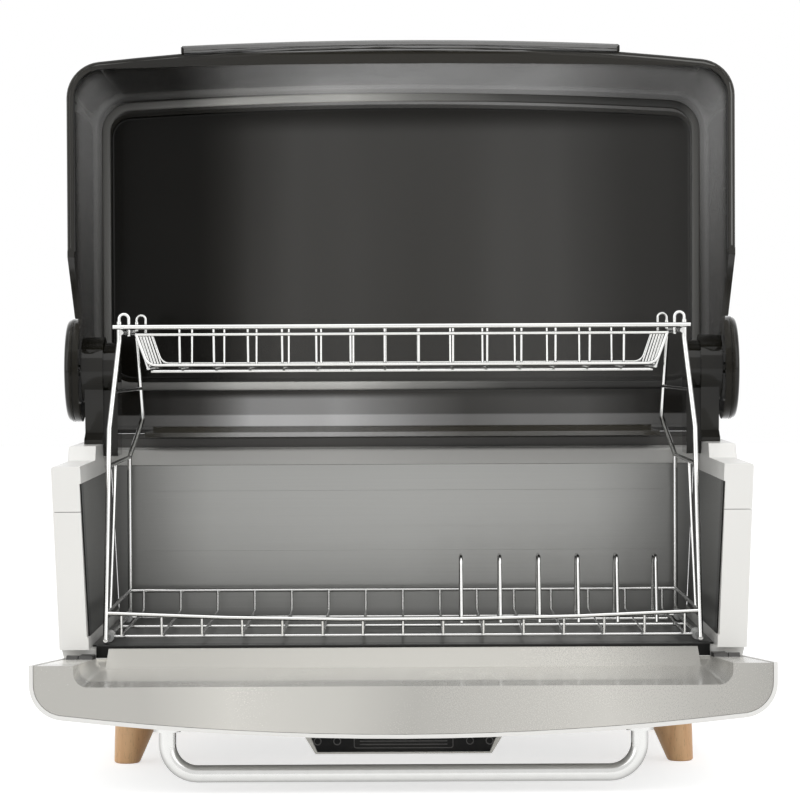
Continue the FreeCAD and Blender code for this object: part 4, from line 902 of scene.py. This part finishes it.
@dataclass
class Studio:
    """Floor, soft lamps, a white world and the camera."""

    distance: float = 2.18425
    height: float = 0.288
    focal_pixels: float = 3158.0
    frame_pixels: float = 800.0
    centre: tuple[float, float] = (402.0, 335.0)
    roll: float = -0.27
    sensor: float = 36.0
    floor_tone: float = 0.66
    floor_glow: float = 0.62
    world_unseen: float = 0.72
    lamp_target: Place = (0.0, 0.0, 0.25)
    lamp_power: float = 16.0
    lamps: tuple[tuple[str, Place, float], ...] = (
        ("top", (0.0, -0.5, 2.2), 2.3), ("left", (-1.9, -1.6, 1.3), 2.2),
        ("right", (1.9, -1.6, 1.3), 2.2))

    def build(self) -> None:
        """Make the floor, lamps, world and camera."""
        self.add_floor()
        self.add_lamps()
        self.add_world()
        self.add_camera()

    def add_floor(self) -> None:
        """A wide pale floor, white to the camera and to glossy rays."""
        bpy.ops.mesh.primitive_plane_add(size=12.0, location=(0.0, 0.0, 0.0))
        floor = bpy.context.active_object
        floor.name = "floor"
        graph = Graph("floor_white")
        path = graph.add("ShaderNodeLightPath", output="Is Camera Ray")
        seen = path.most(path.other("Is Glossy Ray"))
        graph.set(Base_Color=(self.floor_tone,) * 3, Roughness=0.9, Emission_Strength=1.0,
                  Emission_Color=graph.blend(seen, (0.0, 0.0, 0.0), (self.floor_glow,) * 3))
        floor.data.materials.append(graph.material)

    def add_lamps(self) -> None:
        """Three large soft lamps: above, left front and right front."""
        for name, place, size in self.lamps:
            bpy.ops.object.light_add(type="AREA", location=place)
            lamp = bpy.context.active_object
            lamp.name = name + "_lamp"
            lamp.data.size = size
            lamp.data.energy = self.lamp_power
            aim = Vector(self.lamp_target) - Vector(place)
            lamp.rotation_euler = aim.to_track_quat("-Z", "Y").to_euler()

    def add_world(self) -> None:
        """A soft grey world that the camera and glossy rays see as white."""
        world = bpy.data.worlds.new("studio")
        world.use_nodes = True
        nodes, links = world.node_tree.nodes, world.node_tree.links
        nodes.clear()
        path = nodes.new("ShaderNodeLightPath")
        seen = path.outputs["Is Camera Ray"]
        for ray in ("Is Glossy Ray", "Is Transmission Ray"):
            either = nodes.new("ShaderNodeMath")
            either.operation = "MAXIMUM"
            links.new(seen, either.inputs[0])
            links.new(path.outputs[ray], either.inputs[1])
            seen = either.outputs[0]
        strength = nodes.new("ShaderNodeMapRange")
        links.new(seen, strength.inputs["Value"])
        strength.inputs["To Min"].default_value = self.world_unseen
        strength.inputs["To Max"].default_value = 1.0
        glow = nodes.new("ShaderNodeBackground")
        glow.inputs["Color"].default_value = (1.0, 1.0, 1.0, 1.0)
        links.new(strength.outputs[0], glow.inputs["Strength"])
        out = nodes.new("ShaderNodeOutputWorld")
        links.new(glow.outputs[0], out.inputs["Surface"])
        bpy.context.scene.world = world

    def add_camera(self) -> None:
        """The camera at the measured place, level across but for a slight roll."""
        data = bpy.data.cameras.new("camera")
        data.sensor_width = self.sensor
        data.lens = self.focal_pixels / self.frame_pixels * self.sensor
        data.clip_end = 30.0
        camera = bpy.data.objects.new("camera", data)
        bpy.context.scene.collection.objects.link(camera)
        middle = self.frame_pixels / 2.0
        pitch = math.atan((middle - self.centre[1]) / self.focal_pixels)
        yaw = math.atan((self.centre[0] - middle) / self.focal_pixels)
        turn = (Matrix.Rotation(yaw, 4, "Z") @ Matrix.Rotation(math.pi / 2 - pitch, 4, "X")
                @ Matrix.Rotation(math.radians(self.roll), 4, "Z"))
        camera.matrix_world = Matrix.Translation((0.0, -self.distance, self.height)) @ turn
        bpy.context.scene.camera = camera


# --- Sub-assemblies ---

@dataclass
class LidTrim:
    """The ledge round the crown panel, and the lines and rings on the lid's rim and hubs.

    The ledge's finish and the light rim and grip beads are painted highlights, and the dark
    bead inside the rim is a painted groove shade.
    """

    ledge_half: float = 0.2268
    ledge_low: float = 0.2465
    ledge_high: float = 0.4640
    ledge_face: float = 0.2163
    ledge_width: float = 0.0064
    ledge_corner: float = 0.0215
    ledge_bow: float = 0.0075
    ledge_proud: float = 0.0018
    rim_face: float = 0.03440
    rim_half: float = 0.2320
    rim_foot: float = 0.3500
    rim_top: float = 0.4893
    rim_corner: float = 0.0214
    rim_bow_radius: float = 1.98
    rim_corner_steps: int = 4
    rim_bow_points: int = 8
    rim_radius: float = 0.0009
    groove_inset: float = 0.0027
    groove_back: float = 0.0002
    groove_share: float = 0.8
    groove_turn: float = 0.21
    grip_half: float = 0.1515
    grip_front: float = 0.0336
    grip_rows: tuple[float, float] = (0.4888, 0.4914)
    grip_sag: float = 0.0035
    grip_points: int = 8
    grip_radius: float = 0.0005
    cap_place: Place = (0.1532, 0.0412, 0.4884)
    cap_size: Place = (0.0012, 0.0138, 0.0046)
    cap_round: float = 0.0005
    hub_face: float = 0.2402
    hub_place: tuple[float, float] = (0.09475, 0.2635)
    hub_ring: tuple[float, float] = (0.0262, 0.0235)
    hub_ring_depth: float = 0.0014
    hub_ring_sunk: float = 0.0006
    hub_ring_dish: float = 0.0008

    def build(self, made: Finishes) -> None:
        """Make all of them."""
        self.add_ledge(made)
        rim = self.rim_points()
        # A light bead, a painted highlight along the rim, and a dark bead inside it, painted
        # groove shade.
        self.add_line("rim_bead", rim, self.rim_radius, made, "rim_gloss_painted_highlight")
        self.add_line("rim_painted_groove_shade", [self.groove_point(point) for point in rim],
                      self.rim_radius * self.groove_share, made, "rim_shade")
        # grip_edge is a painted highlight line along the grip's top.
        for name, height, look in (("grip_line", self.grip_rows[0], "rim_shade"),
                                   ("grip_edge", self.grip_rows[1], "rim_gloss_painted_highlight")):
            steps = [self.grip_half * (1 - index / self.grip_points)
                     for index in range(self.grip_points)]
            row = [(x, self.grip_front, height - self.grip_sag * (x / self.grip_half) ** 2)
                   for x in steps]
            self.add_line(name, row, self.grip_radius, made, look)
        sides = (("left", -1), ("right", 1))
        for name, side in sides:
            self.add_grip_end(f"grip_end_{name}", side, made)
        for name, side in sides:
            self.add_hub_ring(f"hub_ring_{name}", side, made)

    def rim_points(self) -> list[Place]:
        """The right half of the rim: a straight side, a round corner and a bowed top.

        Returns:
            Points from the side's foot to the top's middle.
        """
        corner, bow = self.rim_corner, self.rim_bow_radius
        across = self.rim_half - corner
        # The corner's arc ends where the bow has the same slope
        slope = math.atan(across / (bow - corner))
        join = across + corner * math.sin(slope)
        up = self.rim_top - join ** 2 / (2 * bow) - corner * math.cos(slope)
        turn = (math.pi / 2 - slope) / self.rim_corner_steps
        flat = [(self.rim_half, self.rim_foot)]
        flat += [(across + corner * math.cos(turn * index), up + corner * math.sin(turn * index))
                 for index in range(self.rim_corner_steps)]
        half_step = join / (2 * self.rim_bow_points - 1)
        for index in range(self.rim_bow_points):
            x = join - 2 * half_step * index
            flat.append((x, self.rim_top - x ** 2 / (2 * bow)))
        return [(x, self.rim_face, z) for x, z in flat]

    def groove_point(self, point: Place) -> Place:
        """The point of the groove that lies inside a point of the rim."""
        x, y, z = point
        inset, turn = self.groove_inset, self.groove_turn
        return (x - inset * min(1.0, x / turn), y + self.groove_back,
                z - inset * min(1.0, turn / x))

    def add_ledge(self, made: Finishes) -> None:
        """The rounded ledge that frames the crown panel."""
        clay = ring_plate("crown_ledge", (-self.ledge_half, self.ledge_face, self.ledge_low),
                          (self.ledge_half, self.ledge_face, self.ledge_high),
                          self.ledge_corner, self.ledge_width, self.ledge_bow)
        clay.modify("SOLIDIFY", thickness=self.ledge_proud * 2, offset=0.0)
        clay.soften(self.ledge_proud * 0.8, 3)
        # Its finish paints a highlight and shade across the ledge.
        clay.settle("lid", Stuff.SMOKED, made, "lid_ledge_painted_highlight", 50.0)

    def add_line(self, name: str, half: list[Place], radius: float, made: Finishes,
                 look: str, sides: int = 10) -> None:
        """A thin raised bead along a path and its mirror image.

        Args:
            name: The piece's name.
            half: Points of the right half, from its end to the middle.
            radius: Half the bead's width.
            made: The materials by name.
            look: The finish.
            sides: Sides of the bead's section.
        """
        clay = Clay(name, bpy.ops.mesh.primitive_circle_add, half[0], vertices=sides,
                    radius=radius, fill_type="NGON")
        whole = [Vector(point) for point in half + [(-x, y, z) for x, y, z in reversed(half)]]
        for index, (start, end) in enumerate(zip(whole, whole[1:])):
            clay.corners(lambda place, start=start: (place - start).length < radius * 1.5)
            along = end - start
            if index:
                along = (start - whole[index - 1]).normalized() + along.normalized()
            clay.face_along(along, start)
            clay.extrude(*(end - start))
        clay.settle("lid", Stuff.SMOKED, made, look, 60.0)

    def add_grip_end(self, name: str, side: int, made: Finishes) -> None:
        """A thin dark cap on one end of the grip; side is -1 at the left, 1 at the right."""
        across, depth, up = self.cap_place
        clay = block(name, (side * across, depth, up), self.cap_size)
        clay.soften(self.cap_round)
        clay.settle("lid", Stuff.SMOKED, made, "rim_shade")

    def add_hub_ring(self, name: str, side: int, made: Finishes) -> None:
        """A narrow polished ring let into one hub cap; side is as in add_grip_end."""
        outer, inner = self.hub_ring
        clay = disc(name, (side * (self.hub_face - self.hub_ring_sunk), *self.hub_place),
                    outer, self.hub_ring_depth, 72, (0.0, math.pi / 2, 0.0))
        clay.faces(lambda centre, normal: normal.x * side > 0.9).inset(outer - inner)
        clay.extrude(-side * self.hub_ring_dish, 0.0, 0.0)
        clay.soften(0.0003)
        clay.settle("lid", Stuff.SATIN, made)


@dataclass
class RearFittings:
    """A louvred air outlet, panel screws and the gland's twelve-sided nut on the back."""

    face: float = 0.14785
    vent_half: float = 0.066
    vent_low: float = 0.098
    vent_high: float = 0.152
    frame_corner: float = 0.006
    frame_width: float = 0.0045
    frame_thick: float = 0.0022
    frame_proud: float = 0.0005
    sheet_inset: float = 0.0035
    sheet_thick: float = 0.0006
    blades: int = 8
    blade_inset: float = 0.004
    blade_thick: float = 0.0010
    blade_share: float = 0.62
    blade_tilt: float = 24.0
    screw_across: float = 0.196
    screw_heights: tuple[float, float] = (0.094, 0.194)
    screw_radius: float = 0.0032
    gland: tuple[float, float] = (-0.150, 0.062)
    nut_radius: float = 0.0106
    nut_depth: float = 0.0032
    nut_hole: float = 0.0082

    def build(self, made: Finishes) -> None:
        """Make the fittings."""
        proud = self.face + self.frame_proud
        frame = ring_plate("vent_frame", (-self.vent_half, proud, self.vent_low),
                           (self.vent_half, proud, self.vent_high), self.frame_corner,
                           self.frame_width)
        frame.modify("SOLIDIFY", thickness=self.frame_thick, offset=0.0).soften(0.0006)
        frame.settle("cabinet", Stuff.WHITE, made)
        self.add_back_sheet(made)
        self.add_blades(made)
        spots = [(x, 0.0, z) for z in self.screw_heights
                 for x in (-self.screw_across, 0.0, self.screw_across)]
        heads = screw("rear_screws", (0.0, self.face, 0.0), Facing.BACK, self.screw_radius)
        heads.repeat(spots).settle("cabinet", Stuff.STEEL, made)
        self.add_nut(made)

    def add_back_sheet(self, made: Finishes) -> None:
        """The dark sheet behind the louvres, painted shade for the vent's inside."""
        tall = self.vent_high - self.vent_low - self.sheet_inset * 2
        # A dark sheet in place of the shade inside the vent.
        clay = block("vent_shade_sheet",
                     (0.0, self.face + 0.0001, (self.vent_low + self.vent_high) / 2),
                     ((self.vent_half - self.sheet_inset) * 2, self.sheet_thick, tall))
        clay.soften(0.0002, 1)
        clay.settle("cabinet", Stuff.GREY, made)

    def add_blades(self, made: Finishes) -> None:
        """Slanting louvre blades."""
        pitch = (self.vent_high - self.vent_low - self.frame_width * 2) / self.blades
        place = (0.0, self.face + self.blade_thick,
                 self.vent_low + self.frame_width + pitch / 2)
        clay = block("vent_blades", place, ((self.vent_half - self.blade_inset) * 2,
                                            self.blade_thick, pitch * self.blade_share))
        clay.corners().turn(self.blade_tilt, "X", place)
        clay.soften(0.0004)
        clay.repeat([(0.0, 0.0, pitch * index) for index in range(self.blades)])
        clay.settle("cabinet", Stuff.WHITE, made)

    def add_nut(self, made: Finishes) -> None:
        """The twelve-sided nut round the cord gland, open where the cord goes in."""
        across, up = self.gland
        clay = disc("gland_nut", (across, self.face + self.nut_depth / 2, up),
                    self.nut_radius, self.nut_depth, 12)
        clay.soften(0.0007)
        clay.cut(disc("hole", (across, self.face, up), self.nut_hole, 0.02, 48))
        clay.settle("cabinet", Stuff.RUBBER, made)


@dataclass
class SealLips:
    """Two soft upright lips that close the slit between the rear seal and the open lid."""

    inner: float = 0.1780
    outer: float = 0.2110
    depth: float = 0.1432
    low: float = 0.2125
    high: float = 0.2162
    thick: float = 0.0016

    def build(self, made: Finishes) -> None:
        """Make both lips as one piece."""
        middle = (self.inner + self.outer) / 2
        clay = block("seal_lips", (0.0, self.depth, (self.low + self.high) / 2),
                     (self.outer - self.inner, self.thick, self.high - self.low))
        clay.faces(lambda centre, normal: normal.z > 0.9).inset(0.0004)
        clay.soften(0.0003)
        clay.repeat([(side * middle, 0.0, 0.0) for side in (-1, 1)])
        clay.settle("cabinet", Stuff.RUBBER, made, "seal_grey")


@dataclass
class UnderFittings:
    """Screws in the closing plate and a rubber pad under each foot."""

    plate: float = 0.0455
    screw_radius: float = 0.0034
    screw_spots: tuple[tuple[float, float], ...] = (
        (-0.195, -0.010), (-0.195, 0.060), (0.195, -0.010), (0.195, 0.060),
        (-0.100, 0.130), (0.100, 0.130), (-0.110, -0.068), (0.110, -0.068))
    toe_across: float = 0.1868
    toe_spots: tuple[float, float] = (-0.05425, 0.11575)
    pad_radius: float = 0.0074
    pad_thick: float = 0.0014
    pad_rim: float = 0.0018
    pad_hollow: float = 0.0004

    def build(self, made: Finishes) -> None:
        """Make the fittings."""
        heads = screw("base_screws", (0.0, 0.0, self.plate), Facing.DOWN, self.screw_radius)
        heads.repeat([(x, y, 0.0) for x, y in self.screw_spots])
        heads.settle("cabinet", Stuff.STEEL, made)
        pads = disc("foot_pads", (0.0, 0.0, self.pad_thick / 2), self.pad_radius,
                    self.pad_thick, 40, (0.0, 0.0, 0.0))
        pads.faces(lambda centre, normal: normal.z < -0.9).inset(self.pad_rim)
        pads.move(0, 0, self.pad_hollow)
        pads.soften(0.0003)
        pads.repeat([(side * self.toe_across, y, 0.0) for side in (-1, 1)
                     for y in self.toe_spots])
        pads.settle("cabinet", Stuff.RUBBER, made)


@dataclass
class TouchKeys:
    """Plain key rings and a framed display with three bars on the control glass."""

    face: float = -0.0965
    height: float = 0.0190
    thick: float = 0.0003
    key_radius: float = 0.0026
    key_line: float = 0.0006
    key_dish: float = 0.00025
    key_places: tuple[float, ...] = (-0.057, -0.044, 0.044, 0.057)
    window: tuple[float, float] = (0.0330, 0.0096)
    window_corner: float = 0.0018
    bar_inset: float = 0.004
    bar_tall: float = 0.0007
    rows: tuple[float, ...] = (-0.0022, 0.0, 0.0022)

    def build(self, made: Finishes) -> None:
        """Make the keys and the display."""
        ring = disc("touch_rings", (0.0, self.face, self.height), self.key_radius,
                    self.thick, 48)
        ring.faces(lambda centre, normal: normal.y < -0.9).inset(self.key_line)
        ring.extrude(0.0, self.key_dish, 0.0)
        ring.repeat([(x, 0.0, 0.0) for x in self.key_places])
        ring.settle("cabinet", Stuff.GREY, made, "key_marks")
        (wide, tall), proud = self.window, self.face - 0.00002
        frame = ring_plate("display_frame", (-wide, proud, self.height - tall / 2),
                           (wide, proud, self.height + tall / 2), self.window_corner,
                           self.key_line)
        frame.modify("SOLIDIFY", thickness=self.thick, offset=0.0)
        bar = block("bar", (0.0, self.face, self.height),
                    ((wide - self.bar_inset) * 2, self.thick, self.bar_tall))
        frame.join([bar.repeat([(0.0, 0.0, row) for row in self.rows])])
        frame.settle("cabinet", Stuff.GREY, made, "key_marks")


# --- Assembly ---

# CAD nodes whose look differs from their slot's
OWN_FINISH = {"lid_shell": "lid_clear_painted_light", "lid_grip": "lid_clear_painted_light", "rear_seal": "seal_grey"}


def dress_nodes(frame: dict[str, Any], made: Finishes) -> None:
    """Give every CAD node its own finish, or the one that its record slot names.

    Args:
        made: The materials by slot.
    """
    for entry in frame["record"]["subparts"]:
        node = frame["nodes"][entry["node"]]
        material = made[OWN_FINISH.get(entry["node"], entry["material_slot"])]
        node.data.materials.clear()
        node.data.materials.append(material)


def main() -> None:
    """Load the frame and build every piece."""
    logging.basicConfig(level=logging.INFO, format="%(name)s: %(message)s")
    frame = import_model()
    bpy.ops.object.select_all(action="DESELECT")
    Studio().build()
    made = {finish.name: finish.build() for finish in FINISHES}
    dress_nodes(frame, made)
    for maker in (LidTrim(), RearFittings(), SealLips(), UnderFittings(), TouchKeys()):
        maker.build(made)
        log.info("%s built", type(maker).__name__)
    bpy.context.scene.view_settings.view_transform = "Standard"


if __name__ == "__main__":
    main()
